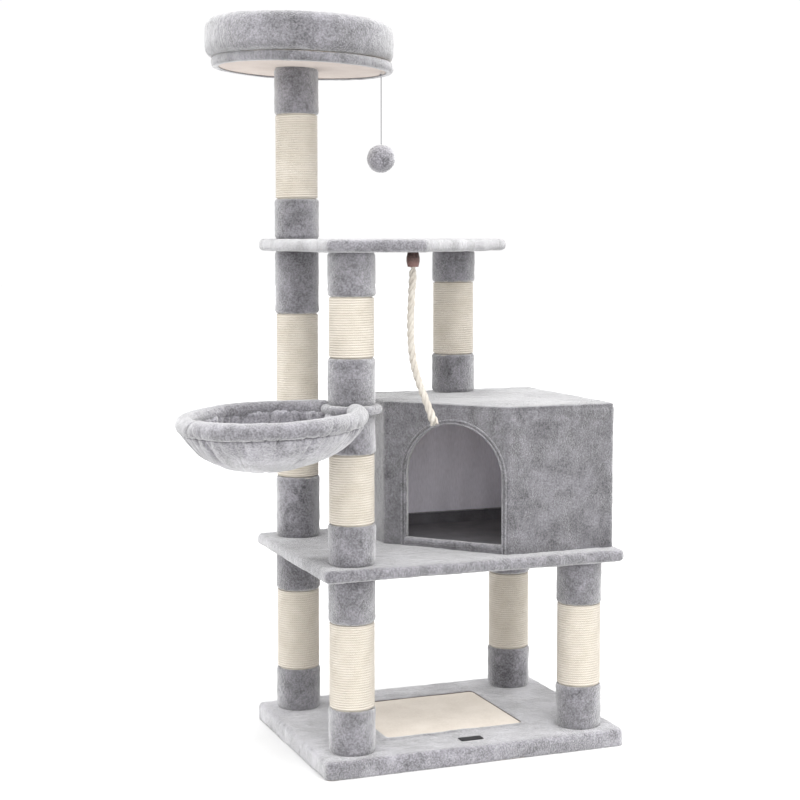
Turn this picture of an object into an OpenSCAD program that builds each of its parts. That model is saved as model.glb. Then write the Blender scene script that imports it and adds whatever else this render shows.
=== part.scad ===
// Cat tree with a base, a middle and a top platform on nine posts, a house with an arched
// door, a hammock, a round padded perch, a ball on a string and a hanging rope.
// Millimetres, +Z up, +X along the base's long side, +Y to the back.
// The origin is the centre of the base's underside.

/* [Base and platforms] */
// Length of the base and of the middle platform, along X
platform_length = 612; // [580:2:640]
// Depth of the base and of all the platforms, along Y
platform_depth = 446; // [430:2:480]
// Thickness of the base, plush included
base_thick = 34; // [28:1:40]
// Thickness of a platform, plush included
platform_thick = 24; // [20:1:30]
// Radius of the corners of the boards
corner_r = 14; // [10:1:45]
// Thickness of the plush fabric on the boards
plush_thick = 4; // [3:0.5:5]
// Length of the front edge of the top platform, up to its slanted side
top_front_length = 190; // [170:5:240]
// Length of the back edge of the top platform
top_back_length = 522; // [500:2:590]
// Length of the straight right edge of the top platform
top_right_depth = 70; // [60:5:120]

/* [Posts] */
// Length of a lower post
lower_post_length = 327; // [280:1:380]
// Distance from the middle platform to the top one
upper_gap = 574; // [520:1:620]
// Length of the post that carries the perch
perch_post_length = 337; // [280:1:400]
// Outer radius of the paper tubes
tube_r = 38; // [34:0.5:42]
// Wall of the paper tubes
tube_wall = 4; // [3:0.5:6]
// Thickness of the sisal rope
sisal_thick = 4.2; // [3:0.1:6]
// Thickness of the plush round a post
sleeve_thick = 5.6; // [4:0.1:7]

/* [House] */
// Height of the house
house_height = 282; // [250:1:320]
// Thickness of the boards of its walls
house_board = 5; // [4:0.5:8]
// Thickness of its roof board
roof_board = 12; // [9:1:16]
// Height of the top of the door arch above the platform
door_height = 244; // [200:1:250]
// Width of the door
door_width = 206; // [160:1:220]
// Height of the sill under the door
sill_height = 14; // [8:1:25]

/* [Hammock] */
// Radius of the steel ring
ring_r = 155; // [130:1:170]
// Radius of the ring's rod
rod_r = 4; // [3:0.5:5]
// Radius of the padded rim round the rod
rim_tube_r = 15.5; // [12:0.5:20]
// Depth of the bowl below the rim's centre
bowl_depth = 88; // [70:1:110]
// Distance from the post's axis to the ring's centre
ring_reach = 175; // [165:1:185]
// Thickness of the collar between the two front posts
collar_thick = 16; // [12:1:20]

/* [Perch] */
// Outer radius of the padded rim
perch_r = 190; // [170:1:200]
// Height of the perch, from its underside
perch_height = 94; // [80:1:110]
// Width of the padded rim
bolster_w = 50; // [40:1:60]
// Radius of the board under the bed
perch_board_r = 176; // [160:1:180]

/* [Toys] */
// Radius of the plush ball
ball_r = 28.5; // [20:0.5:35]
// Length of the string from its knot to the ball
string_length = 134; // [100:1:200]
// Diameter of the string
string_d = 1.6; // [1.2:0.1:2.4]
// Diameter of the thick rope
rope_d = 12; // [10:0.5:14]

/* [Hidden] */
$fn = 64;
eps = 0.01;

// Heights of the faces that the pieces stand on
middle_z = base_thick + lower_post_length;
middle_top = middle_z + platform_thick;
top_z = middle_top + upper_gap;
top_top = top_z + platform_thick;
perch_z = top_top + perch_post_length;
front_post_length = (upper_gap - collar_thick) / 2;
collar_z = middle_top + front_post_length;
house_top = middle_top + house_height;
house_z = middle_top;

// Boards inside the plush
base_board_top = base_thick - plush_thick;
base_cover_z = 2;
half_l = platform_length / 2;
half_d = platform_depth / 2;

// Left edge of the top platform
top_left = -300;

// Places of the posts
post_x = 235;
post_y = 162;
front_left = [-post_x, -post_y];
back_left = [-post_x, post_y];
front_right = [post_x, -post_y];
back_right = [post_x, post_y];
roof_post = [103, 157];
roof_post_length = top_z - house_top;

// Lengths of the plush sleeves at the lower and upper end of each post
lower_ends = [83, 83];
front_middle_ends = [75, 73];
front_upper_ends = [86, 80];
long_ends = [122, 124];
perch_ends = [79, 90];
roof_ends = [78, 64];

// Fasteners
plug_thick = 18;
bolt_r = 3.9;
hole_r = 4.5;
head_r = 9;
head_thick = 4;
nut_r = 6;
nut_length = 14;
bolt_grip = 12;
base_bolt_seat = 6;

// The mat on the base and the blank tab in front of it
mat_size = [286, 248];
mat_centre = [-5, 9];
mat_thick = 3;
mat_corner_r = 10;
tab_size = [46, 20];
tab_centre = [0, -175];
tab_thick = 1;

// Plan of the house, anticlockwise from its front right corner
house_plan = [[298, -187], [298, 195], [-107, 195], [-107, 9], [68, -187]];
house_skin = 3.5;
house_lining = 2.5;
wall_outer = house_skin;
wall_inner = house_skin + house_board;
lining_inner = wall_inner + house_lining;
roof_board_z = house_top - house_skin - roof_board;
lining_gap = 24;
door_side = 3;
door_direction = house_plan[4] - house_plan[3];
door_turn = atan2(door_direction[1], door_direction[0]);
door_middle = 150;
door_piping_r = 2.6;

// The hammock hangs away from the front left post, and a little down
hammock_turn = 197;
hammock_drop = 2.8;
hammock_z = collar_z + collar_thick / 2;
collar_r = 56;
plate_r = 30;
plate_thick = 4;
bowl_wall = 4;
// Fullness of the bowl below its rim: 1 is a pointed bowl, 2 a round one
bowl_fullness = 1.4;
bowl_rim_r = ring_r + 4;
bowl_steps = 14;

// The perch leans a little towards its toy, and sits off the post's axis
perch_lean = 2;
perch_offset = [12, -3];
lining_thick = 1.5;
perch_board_thick = 15;
perch_board_top = lining_thick + perch_board_thick;
band_bottom = -1.5;
band_top = 16.4;
pad_thick = 23;
pad_r = perch_r - bolster_w - 4;
// The stuffed rim sits off the board's centre
rim_shift = [-7.5, 0, 0];

// The ball hangs from a staple under the perch
toy_place = [-77.5, 101];
toy_pivot_z = 1308.5;
staple_half_w = 5;
staple_wire_r = 0.7;
staple_leg = 17;
toy_knot_r = 3.5;
knot_hole_r = 1.2;
string_top = toy_pivot_z - toy_knot_r - 0.3;
ball_z = string_top - string_length - ball_r + 0.5;

// The rope hangs from a cap under the top platform
rope_place = [-120, -178];
cap_height = 27;
cap_r = 12.3;
cap_end_r = 10;
rope_knot_r = 6.6;
rope_pivot_z = top_z - cap_height + 2;
rope_socket_r = 7;
// Steps aside and heights of the rope's route
rope_aside = [0, -1, -2.5, -3.5, -4.2, -4.2, -3.6, -2, 1, 5.5, 11.5, 18.5, 26, 34, 40];
rope_heights = [927, 905, 882, 860, 838, 816, 796, 776, 756, 737, 718, 699, 679, 658, 641];
rope_direction = [0.93, -0.36];
rope_route = [for (i = [0:len(rope_aside) - 1])
    [rope_place[0] + rope_aside[i] * rope_direction[0],
     rope_place[1] + rope_aside[i] * rope_direction[1],
     rope_heights[i]]];
string_rings = 32;
string_route = [for (i = [0:string_rings])
    [toy_place[0], toy_place[1], string_top - i * string_length / string_rings]];

// ---------- colours ----------

plush_colour = [0.66, 0.66, 0.69];
sisal_colour = [0.91, 0.87, 0.78];
board_colour = [0.72, 0.60, 0.45];
paper_colour = [0.70, 0.58, 0.42];
steel_colour = [0.70, 0.71, 0.72];

// ---------- plans ----------

function unit(v) = v / norm(v);
function left_of(v) = [-v[1], v[0]];

// Point where two lines meet, each given by a point and a direction
function crossing(p, d, q, e) =
    p + d * ((q - p) * left_of(e)) / (d * left_of(e));

// A convex anticlockwise outline moved inwards by a distance
function inset(points, distance) = [for (i = [0:len(points) - 1])
    let (n = len(points),
         before = points[(i + n - 1) % n],
         here = points[i],
         after = points[(i + 1) % n],
         a = unit(here - before),
         b = unit(after - here))
    crossing(here + left_of(a) * distance, a, here + left_of(b) * distance, b)];

// A convex anticlockwise outline with its corners rounded
function rounded(points, radius, steps = 6) = [for (i = [0:len(points) - 1])
    let (n = len(points),
         a = unit(points[i] - points[(i + n - 1) % n]),
         b = unit(points[(i + 1) % n] - points[i]),
         start = atan2(-left_of(a)[1], -left_of(a)[0]),
         turn = acos(a * b),
         centre = inset(points, radius)[i])
    for (k = [0:steps])
        centre + radius * [cos(start + turn * k / steps), sin(start + turn * k / steps)]];

function rectangle(size, centre = [0, 0]) = [
    centre + [size[0] / 2, -size[1] / 2],
    centre + [size[0] / 2, size[1] / 2],
    centre + [-size[0] / 2, size[1] / 2],
    centre + [-size[0] / 2, -size[1] / 2]];

base_plan = rectangle([platform_length, platform_depth]);
top_plan = [
    [top_left + top_front_length, -half_d],
    [top_left + top_back_length, half_d - top_right_depth],
    [top_left + top_back_length, half_d],
    [top_left, half_d],
    [top_left, -half_d]];

module slab(plan, corner, from_z, to_z) {
    translate([0, 0, from_z])
        linear_extrude(to_z - from_z)
            polygon(rounded(plan, corner));
}

module disc(place, radius, from_z, to_z) {
    translate([place[0], place[1], from_z])
        cylinder(r = radius, h = to_z - from_z);
}

module pipe(place, outer_r, inner_r, from_z, to_z) {
    difference() {
        disc(place, outer_r, from_z, to_z);
        disc(place, inner_r, from_z - 1, to_z + 1);
    }
}

// A tube swept along a route of points, with flat ends
function frame_side(direction) =
    unit(cross(direction, abs(direction[1]) < 0.9 ? [0, 1, 0] : [1, 0, 0]));

module swept(route, radius, sides) {
    last = len(route) - 1;
    rings = [for (i = [0:last])
        let (direction = unit(route[min(i + 1, last)] - route[max(i - 1, 0)]),
             side = frame_side(direction),
             other = cross(direction, side))
        for (k = [0:sides - 1])
            route[i] + radius * (cos(360 * k / sides) * side + sin(360 * k / sides) * other)];
    walls = [for (i = [0:last - 1]) for (k = [0:sides - 1])
        let (a = i * sides + k, b = i * sides + (k + 1) % sides)
        [a, a + sides, b + sides, b]];
    first_end = [for (k = [0:sides - 1]) k];
    last_end = [for (k = [sides - 1:-1:0]) last * sides + k];
    polyhedron(concat(rings), concat(walls, [first_end, last_end]));
}

// ---------- posts ----------

// Each post: its place, the height of its foot, its length and its two plush lengths
POSTS = [
    [front_left, base_thick, lower_post_length, lower_ends],
    [back_left, base_thick, lower_post_length, lower_ends],
    [front_right, base_thick, lower_post_length, lower_ends],
    [back_right, base_thick, lower_post_length, lower_ends],
    [front_left, middle_top, front_post_length, front_middle_ends],
    [front_left, collar_z + collar_thick, front_post_length, front_upper_ends],
    [back_left, middle_top, upper_gap, long_ends],
    [back_left, top_top, perch_post_length, perch_ends],
    [roof_post, house_top, roof_post_length, roof_ends]];

module sisal_wrap(post) {
    color(sisal_colour)
        pipe(post[0], tube_r + sisal_thick, tube_r, post[1] + post[3][0],
             post[1] + post[2] - post[3][1]);
}

module plush_sleeves(post) {
    color(plush_colour) {
        pipe(post[0], tube_r + sleeve_thick, tube_r, post[1], post[1] + post[3][0]);
        pipe(post[0], tube_r + sleeve_thick, tube_r, post[1] + post[2] - post[3][1],
             post[1] + post[2]);
    }
}

// The perch post's top sleeve is pressed down by the leaning perch
module perch_plush_sleeves() {
    color(plush_colour)
        difference() {
            plush_sleeves(POSTS[7]);
            at_perch() translate([-200, -200, 0]) cube([400, 400, 50]);
        }
}

module post_tubes() {
    color(paper_colour)
        for (post = POSTS)
            pipe(post[0], tube_r, tube_r - tube_wall, post[1], post[1] + post[2] - tube_shortening(post));
}

// Only the perch post's tube stops short, under the leaning board
function tube_shortening(post) = post == POSTS[7] ? 1.6 : 0;

// Heights of the lower faces of a post's two plugs
function plug_feet(post) = [post[1], post[1] + post[2] - tube_shortening(post) - plug_thick];

module post_plugs() {
    color(board_colour)
        for (post = POSTS)
            for (z = plug_feet(post))
                pipe(post[0], tube_r - tube_wall, nut_r, z, z + plug_thick);
}

module insert_nuts() {
    color(steel_colour)
        for (post = POSTS) {
            feet = plug_feet(post);
            pipe(post[0], nut_r, bolt_r, feet[0], feet[0] + nut_length);
            pipe(post[0], nut_r, bolt_r, feet[1] + plug_thick - nut_length, feet[1] + plug_thick);
        }
}

// Bolts whose heads point down: place and height of the head's seat
BOLTS_UP = [
    [front_left, base_bolt_seat],
    [back_left, base_bolt_seat],
    [front_right, base_bolt_seat],
    [back_right, base_bolt_seat],
    [roof_post, roof_board_z]];

// Bolts whose heads point up, with the height of the head's seat
BOLTS_DOWN = [
    [front_right, middle_top - plush_thick],
    [back_right, middle_top - plush_thick],
    [front_left, top_top - plush_thick],
    [roof_post, top_top - plush_thick],
    [back_left, perch_z + perch_board_top + 0.4]];

// Where each upward bolt ends inside its post
function up_end(bolt) = (bolt[0] == roof_post ? house_top : base_thick) + bolt_grip;

// Where each downward bolt ends inside its post
function down_end(bolt) =
    bolt[1] > perch_z ? perch_z - bolt_grip
    : bolt[1] > middle_top ? top_z - bolt_grip
    : middle_z - bolt_grip;

module post_bolts() {
    color(steel_colour) {
        for (bolt = BOLTS_UP) {
            disc(bolt[0], head_r, bolt[1] - head_thick, bolt[1]);
            disc(bolt[0], bolt_r, bolt[1], up_end(bolt));
        }
        for (bolt = BOLTS_DOWN) {
            disc(bolt[0], head_r, bolt[1], bolt[1] + head_thick);
            disc(bolt[0], bolt_r, down_end(bolt), bolt[1]);
        }
    }
}

// Studs that join a post to the one above it: place, lower end and upper end
STUDS = [
    [front_left, middle_z - bolt_grip, middle_top + bolt_grip],
    [back_left, middle_z - bolt_grip, middle_top + bolt_grip],
    [front_left, collar_z - bolt_grip, collar_z + collar_thick + bolt_grip],
    [back_left, top_z - bolt_grip, top_top + bolt_grip]];

module joining_studs() {
    color(steel_colour)
        for (stud = STUDS)
            disc(stud[0], bolt_r, stud[1], stud[2]);
}

// Every hole that a bolt or a stud needs in the boards and their covers
module through_holes(places, from_z, to_z) {
    for (place = places)
        disc(place, hole_r, from_z - 1, to_z + 1);
}

// ---------- base ----------

base_posts = [front_left, back_left, front_right, back_right];

module base_board() {
    color(board_colour)
        difference() {
            slab(inset(base_plan, plush_thick), corner_r - plush_thick, 0, base_board_top);
            through_holes(base_posts, 0, base_board_top);
            for (place = base_posts)
                disc(place, head_r + 1, -1, base_bolt_seat);
        }
}

module base_cover() {
    color(plush_colour)
        difference() {
            slab(base_plan, corner_r, base_cover_z, base_thick);
            slab(inset(base_plan, plush_thick), corner_r - plush_thick, -1, base_board_top);
            through_holes(base_posts, base_board_top, base_thick);
            slab(rectangle(mat_size, mat_centre), mat_corner_r, base_board_top - 1, base_thick + 1);
        }
}

module scratch_mat() {
    color([0.87, 0.82, 0.73])
        slab(rectangle(mat_size - [1, 1], mat_centre), mat_corner_r, base_board_top,
             base_board_top + mat_thick);
}

module blank_tab() {
    color([0.09, 0.09, 0.10])
        slab(rectangle(tab_size, tab_centre), 1.5, base_thick, base_thick + tab_thick);
}

// ---------- platforms ----------

module platform_board(plan, z, places) {
    color(board_colour)
        difference() {
            slab(inset(plan, plush_thick), corner_r - plush_thick, z + plush_thick,
                 z + platform_thick - plush_thick);
            through_holes(places, z, z + platform_thick);
        }
}

// A cover wraps the whole board; sunk bolt heads lie in the plush
module platform_cover(plan, z, places, sunk) {
    color(plush_colour)
        difference() {
            slab(plan, corner_r, z, z + platform_thick);
            slab(inset(plan, plush_thick), corner_r - plush_thick, z + plush_thick,
                 z + platform_thick - plush_thick);
            through_holes(places, z, z + platform_thick);
            for (place = sunk)
                disc(place, head_r + 1, z + platform_thick - plush_thick - eps,
                     z + platform_thick + 1);
        }
}

top_posts = [front_left, back_left, roof_post];

module middle_board() {
    platform_board(base_plan, middle_z, base_posts);
}

module middle_cover() {
    platform_cover(base_plan, middle_z, base_posts, [front_right, back_right]);
}

module top_board() {
    platform_board(top_plan, top_z, top_posts);
}

module top_cover() {
    platform_cover(top_plan, top_z, top_posts, [front_left, roof_post]);
}

// ---------- house ----------

// The piece of wall along one side of the plan, between two depths
module wall_piece(side, outer_depth, inner_depth, from_z, to_z) {
    outer = inset(house_plan, outer_depth);
    inner = inset(house_plan, inner_depth);
    next = (side + 1) % len(house_plan);
    translate([0, 0, from_z])
        linear_extrude(to_z - from_z)
            polygon([outer[side], outer[next], inner[next], inner[side]]);
}

// Places a shape at the door: x along the wall, y into the house
module at_door() {
    translate([house_plan[3][0], house_plan[3][1], house_z])
        rotate([0, 0, door_turn])
            translate([door_middle, 0, 0])
                children();
}

// The arch of the door, larger by a margin
module arch(margin) {
    half_w = door_width / 2 + margin;
    spring = door_height - door_width / 2;
    translate([-half_w, sill_height - margin])
        square([2 * half_w, spring - sill_height + margin]);
    translate([0, spring])
        circle(r = half_w);
}

// The same arch with its legs down to the platform
module arch_to_floor(margin) {
    half_w = door_width / 2 + margin;
    arch(margin);
    translate([-half_w, 0])
        square([2 * half_w, sill_height]);
}

module arch_cut(margin) {
    at_door()
        translate([0, 40, 0])
            rotate([90, 0, 0])
                linear_extrude(80)
                    arch(margin);
}

module house_wall(side) {
    color(board_colour)
        wall_piece(side, wall_outer, wall_inner, house_z, roof_board_z);
}

module house_right_panel() {
    house_wall(0);
}

module house_back_panel() {
    house_wall(1);
}

module house_left_panel() {
    house_wall(2);
}

module house_front_panel() {
    house_wall(4);
}

module house_door_panel() {
    difference() {
        house_wall(door_side);
        arch_cut(0);
    }
}

module house_roof_panel() {
    color(board_colour)
        difference() {
            translate([0, 0, roof_board_z])
                linear_extrude(roof_board)
                    polygon(inset(house_plan, wall_outer));
            through_holes([roof_post], roof_board_z, house_top);
        }
}

module house_cover() {
    color(plush_colour)
        difference() {
            translate([0, 0, house_z])
                linear_extrude(house_height)
                    polygon(house_plan);
            translate([0, 0, house_z - 1])
                linear_extrude(house_height + 1 - house_skin)
                    polygon(inset(house_plan, wall_outer));
            arch_cut(0);
            through_holes([roof_post], roof_board_z, house_top);
        }
}

// The lining hangs from the roof board and stops above the floor
module house_lining() {
    color([0.55, 0.55, 0.57])
        difference() {
            for (side = [0:len(house_plan) - 1])
                wall_piece(side, wall_inner, lining_inner, house_z + lining_gap, roof_board_z);
            arch_cut(0);
        }
}

// A dark sheet covers the floor and turns up under the lining's hem
module house_floor_liner() {
    liner = 1.5;
    color([0.22, 0.22, 0.24])
        difference() {
            translate([0, 0, house_z])
                linear_extrude(lining_gap)
                    polygon(inset(house_plan, wall_inner));
            translate([0, 0, house_z + liner])
                linear_extrude(lining_gap)
                    polygon(inset(house_plan, wall_inner + liner));
            arch_cut(0);
        }
}

// Piping on the plush round the door arch, down to the platform
module door_piping() {
    color(plush_colour)
        at_door()
            rotate([90, 0, 0])
                linear_extrude(2 * door_piping_r)
                    difference() {
                        arch_to_floor(2 * door_piping_r);
                        arch_to_floor(0);
                    }
}

// ---------- hammock ----------

// The frame of the hammock: origin at the post's axis, +X to the ring's centre
module at_hammock() {
    translate([front_left[0], front_left[1], hammock_z])
        rotate([0, 0, hammock_turn])
            rotate([0, hammock_drop, 0])
                children();
}

module ring_solid(tube) {
    at_hammock()
        translate([ring_reach, 0, 0])
            rotate_extrude($fn = 96)
                translate([ring_r, 0])
                    circle(r = tube);
}

module hammock_plate() {
    at_hammock()
        translate([0, 0, -plate_thick / 2])
            cylinder(r = plate_r, h = plate_thick);
}

module hammock_ring() {
    color(steel_colour)
        difference() {
            union() {
                ring_solid(rod_r);
                hammock_plate();
            }
            through_holes([front_left], collar_z, collar_z + collar_thick);
        }
}

module hammock_collar() {
    color(plush_colour)
        difference() {
            disc(front_left, collar_r, collar_z, collar_z + collar_thick);
            ring_solid(rod_r);
            hammock_plate();
            through_holes([front_left], collar_z, collar_z + collar_thick);
        }
}

module hammock_rim() {
    color(plush_colour)
        difference() {
            ring_solid(rim_tube_r);
            ring_solid(rod_r);
            disc(front_left, collar_r + 1, hammock_z - 60, hammock_z + 60);
        }
}

// Side of the bowl as radius and height, from the rim down to the middle
function bowl_side(rim_r, depth) = [for (i = [0:bowl_steps])
    let (a = 90 * i / bowl_steps)
    [rim_r * cos(a), -rim_tube_r - depth * pow(sin(a), bowl_fullness)]];

module bowl_solid(rim_r, depth, post_gap) {
    difference() {
        at_hammock()
            translate([ring_reach, 0, 0])
                rotate_extrude($fn = 96)
                    polygon(concat([[0, -rim_tube_r]], bowl_side(rim_r, depth)));
        disc(front_left, tube_r + sleeve_thick + post_gap, collar_z - 140, collar_z + 40);
    }
}

module hammock_bowl() {
    depth = bowl_depth - rim_tube_r;
    color(plush_colour)
        difference() {
            bowl_solid(bowl_rim_r, depth, 1);
            translate([0, 0, 0.1])
                bowl_solid(bowl_rim_r - bowl_wall, depth - bowl_wall, 1 + bowl_wall);
        }
}

// ---------- perch ----------

module at_perch() {
    translate([back_left[0], back_left[1], perch_z])
        rotate([0, perch_lean, 0])
            children();
}

module at_bed() {
    at_perch()
        translate([perch_offset[0], perch_offset[1], 0])
            children();
}

module perch_lining() {
    color([0.85, 0.79, 0.74])
        difference() {
            at_bed() cylinder(r = perch_board_r - 4, h = lining_thick);
            perch_cuts();
        }
}

module perch_board() {
    color(board_colour)
        difference() {
            at_bed()
                translate([0, 0, lining_thick])
                    cylinder(r = perch_board_r, h = perch_board_thick);
            perch_cuts();
        }
}

// Holes for the bolt and for the legs of the toy's staple
module perch_cuts() {
    disc(back_left, hole_r + 0.5, perch_z - 5, perch_z + 30);
    for (side = [-1, 1])
        disc(toy_place + [0, side * staple_half_w], staple_wire_r,
             toy_pivot_z, toy_pivot_z + staple_leg);
}

// The plush band round the board's edge, folded in underneath
module perch_band() {
    color(plush_colour)
        at_bed()
            rotate_extrude($fn = 96) {
                translate([perch_board_r, band_bottom])
                    square([plush_thick, band_top - band_bottom]);
                translate([perch_board_r - 10, band_bottom])
                    square([10 + eps, -band_bottom]);
            }
}

// The stuffed rim on top of the board, with an upright oval section
module perch_rim() {
    half_w = bolster_w / 2;
    color(plush_colour)
        at_bed()
            translate(rim_shift)
                rotate_extrude($fn = 96)
                    translate([perch_r - half_w, 0]) {
                        translate([0, perch_board_top + half_w])
                            circle(r = half_w);
                        translate([0, perch_height - half_w])
                            circle(r = half_w);
                        translate([-half_w, perch_board_top + half_w])
                            square([bolster_w, perch_height - perch_board_top - bolster_w]);
                    }
}

module perch_pad() {
    color(plush_colour)
        difference() {
            at_bed()
                translate(rim_shift + [0, 0, perch_board_top])
                    cylinder(r = pad_r, h = pad_thick);
            disc(back_left, head_r + 2, perch_z + 8, perch_z + perch_board_top + head_thick + 3);
        }
}

// ---------- toys ----------

module toy_staple() {
    color(steel_colour) {
        for (side = [-1, 1])
            disc(toy_place + [0, side * staple_half_w], staple_wire_r,
                 toy_pivot_z, toy_pivot_z + staple_leg);
        translate([toy_place[0], toy_place[1] + staple_half_w + staple_wire_r, toy_pivot_z])
            rotate([90, 0, 0])
                cylinder(r = staple_wire_r, h = 2 * (staple_half_w + staple_wire_r));
    }
}

module toy_knot() {
    color([0.80, 0.80, 0.80])
        translate([toy_place[0], toy_place[1], toy_pivot_z])
            difference() {
                sphere(r = toy_knot_r);
                rotate([90, 0, 0])
                    cylinder(r = knot_hole_r, h = 10, center = true);
            }
}

module toy_string() {
    color([0.80, 0.80, 0.80])
        swept(string_route, string_d / 2, 8);
}

module toy_ball() {
    color(plush_colour)
        difference() {
            translate([toy_place[0], toy_place[1], ball_z])
                sphere(r = ball_r);
            disc(toy_place, string_d / 2 + 0.1, string_top - string_length, ball_z + 2 * ball_r);
        }
}

module rope_cap() {
    bottom = top_z - cap_height;
    color([0.30, 0.20, 0.19])
        difference() {
            translate([rope_place[0], rope_place[1], 0])
                rotate_extrude()
                    polygon([[0, bottom], [cap_end_r, bottom], [cap_r, bottom + 10],
                             [cap_r, bottom + 17], [cap_end_r, top_z], [0, top_z]]);
            translate([rope_place[0], rope_place[1], rope_pivot_z])
                sphere(r = rope_socket_r);
        }
}

module rope_knot() {
    color(sisal_colour)
        translate([rope_place[0], rope_place[1], rope_pivot_z])
            sphere(r = rope_knot_r);
}

module toy_rope() {
    color(sisal_colour)
        swept(rope_route, rope_d / 2, 12);
}

// ---------- all nodes ----------

base_board();
base_cover();
scratch_mat();
blank_tab();
middle_board();
middle_cover();
top_board();
top_cover();
post_tubes();
post_plugs();
insert_nuts();
post_bolts();
joining_studs();
sisal_wrap(POSTS[0]);  // front_left_lower_sisal
plush_sleeves(POSTS[0]);  // front_left_lower_plush
sisal_wrap(POSTS[1]);  // back_left_lower_sisal
plush_sleeves(POSTS[1]);  // back_left_lower_plush
sisal_wrap(POSTS[2]);  // front_right_lower_sisal
plush_sleeves(POSTS[2]);  // front_right_lower_plush
sisal_wrap(POSTS[3]);  // back_right_lower_sisal
plush_sleeves(POSTS[3]);  // back_right_lower_plush
sisal_wrap(POSTS[4]);  // front_left_middle_sisal
plush_sleeves(POSTS[4]);  // front_left_middle_plush
sisal_wrap(POSTS[5]);  // front_left_upper_sisal
plush_sleeves(POSTS[5]);  // front_left_upper_plush
sisal_wrap(POSTS[6]);  // back_left_long_sisal
plush_sleeves(POSTS[6]);  // back_left_long_plush
sisal_wrap(POSTS[7]);  // perch_post_sisal
perch_plush_sleeves();  // perch_post_plush
sisal_wrap(POSTS[8]);  // roof_post_sisal
plush_sleeves(POSTS[8]);  // roof_post_plush
house_back_panel();
house_left_panel();
house_front_panel();
house_right_panel();
house_door_panel();
house_roof_panel();
house_cover();
house_lining();
house_floor_liner();
door_piping();
hammock_ring();
hammock_collar();
hammock_bowl();
hammock_rim();
perch_board();
perch_band();
perch_rim();
perch_pad();
perch_lining();
toy_staple();
toy_knot();
toy_string();
toy_ball();
rope_cap();
rope_knot();
toy_rope();
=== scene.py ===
"""Looks of the cat tree: plush covers, sisal posts, a house, a hammock, a perch and two toys.

Metres, in the frame's axes: +X right along the base, +Y to the back, +Z up.
"""
import math

import bmesh
import bpy
import numpy as np
from mathutils import Matrix, Vector


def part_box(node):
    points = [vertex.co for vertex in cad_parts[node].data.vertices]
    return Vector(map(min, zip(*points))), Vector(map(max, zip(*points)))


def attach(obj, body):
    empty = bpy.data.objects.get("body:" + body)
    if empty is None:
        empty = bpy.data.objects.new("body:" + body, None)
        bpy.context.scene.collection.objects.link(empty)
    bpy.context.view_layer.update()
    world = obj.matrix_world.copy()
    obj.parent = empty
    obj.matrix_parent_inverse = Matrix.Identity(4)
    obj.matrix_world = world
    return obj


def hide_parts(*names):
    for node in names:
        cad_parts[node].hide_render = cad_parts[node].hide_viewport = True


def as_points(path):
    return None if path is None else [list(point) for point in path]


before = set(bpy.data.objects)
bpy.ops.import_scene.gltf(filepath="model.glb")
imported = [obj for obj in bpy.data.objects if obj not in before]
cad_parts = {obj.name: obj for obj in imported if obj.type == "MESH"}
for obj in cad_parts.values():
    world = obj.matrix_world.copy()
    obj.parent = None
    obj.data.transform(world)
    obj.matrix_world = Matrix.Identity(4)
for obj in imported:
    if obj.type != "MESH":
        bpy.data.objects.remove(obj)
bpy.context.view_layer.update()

mm = 0.001
rng = np.random.default_rng(7)
UP = np.array([0.0, 0.0, 1.0])


# ---------- camera ----------

def add_camera():
    data = bpy.data.cameras.new("camera")
    data.sensor_width = 36
    data.lens = 75.68
    data.shift_y = -0.06
    data.clip_end = 200
    camera = bpy.data.objects.new("camera", data)
    camera.location = (-1.2665, -3.0568, 0.9873)
    camera.rotation_euler = (math.radians(90 - 3.92), 0, math.radians(-21.27))
    bpy.context.scene.collection.objects.link(camera)
    bpy.context.scene.camera = camera


add_camera()


# ---------- numbers along lines and surfaces ----------

def lattice(cells, seed):
    """A repeatable random number from -1 to 1 for each whole-number cell."""
    value = np.sin(cells @ np.array([127.1, 311.7, 74.7]) + seed * 53.3) * 43758.5453
    return 2 * (value - np.floor(value)) - 1


def noise(points, size, seed=0):
    """Smooth noise from -1 to 1 at each point, with bumps about size across."""
    scaled = np.asarray(points, float) / size
    cell = np.floor(scaled)
    part = scaled - cell
    blend = part * part * (3 - 2 * part)
    total = np.zeros(len(scaled))
    for corner in np.ndindex(2, 2, 2):
        weight = np.prod(np.where(corner, blend, 1 - blend), axis=1)
        total += weight * lattice(cell + corner, seed)
    return total


def bump(away, width, power=2):
    """1 where away is 0, falling smoothly to nearly 0 beyond about the width."""
    return np.exp(-np.abs(away / width) ** power)


def full_turn(steps):
    return np.linspace(0, 2 * np.pi, steps, endpoint=False)


def polar(out, angle, z):
    """Points at a distance out from the Z axis, at an angle round it and a height."""
    return np.stack([out * np.cos(angle), out * np.sin(angle), z + 0 * angle], -1).reshape(-1, 3)


def unit(vectors):
    return vectors / np.maximum(np.linalg.norm(vectors, axis=-1, keepdims=True), 1e-12)


def smooth_line(points, steps):
    """A Catmull-Rom line through the points, with some steps between each two."""
    p = np.asarray(points, float)
    p = np.vstack([2 * p[0] - p[1], p, 2 * p[-1] - p[-2]])
    t = np.linspace(0, 1, steps, endpoint=False)[:, None]
    parts = [
        0.5 * (2 * b + (c - a) * t + (2 * a - 5 * b + 4 * c - d) * t**2
               + (3 * b - a - 3 * c + d) * t**3)
        for a, b, c, d in zip(p[:-3], p[1:-2], p[2:-1], p[3:])
    ]
    return np.vstack(parts + [p[-2:-1]])


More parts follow.
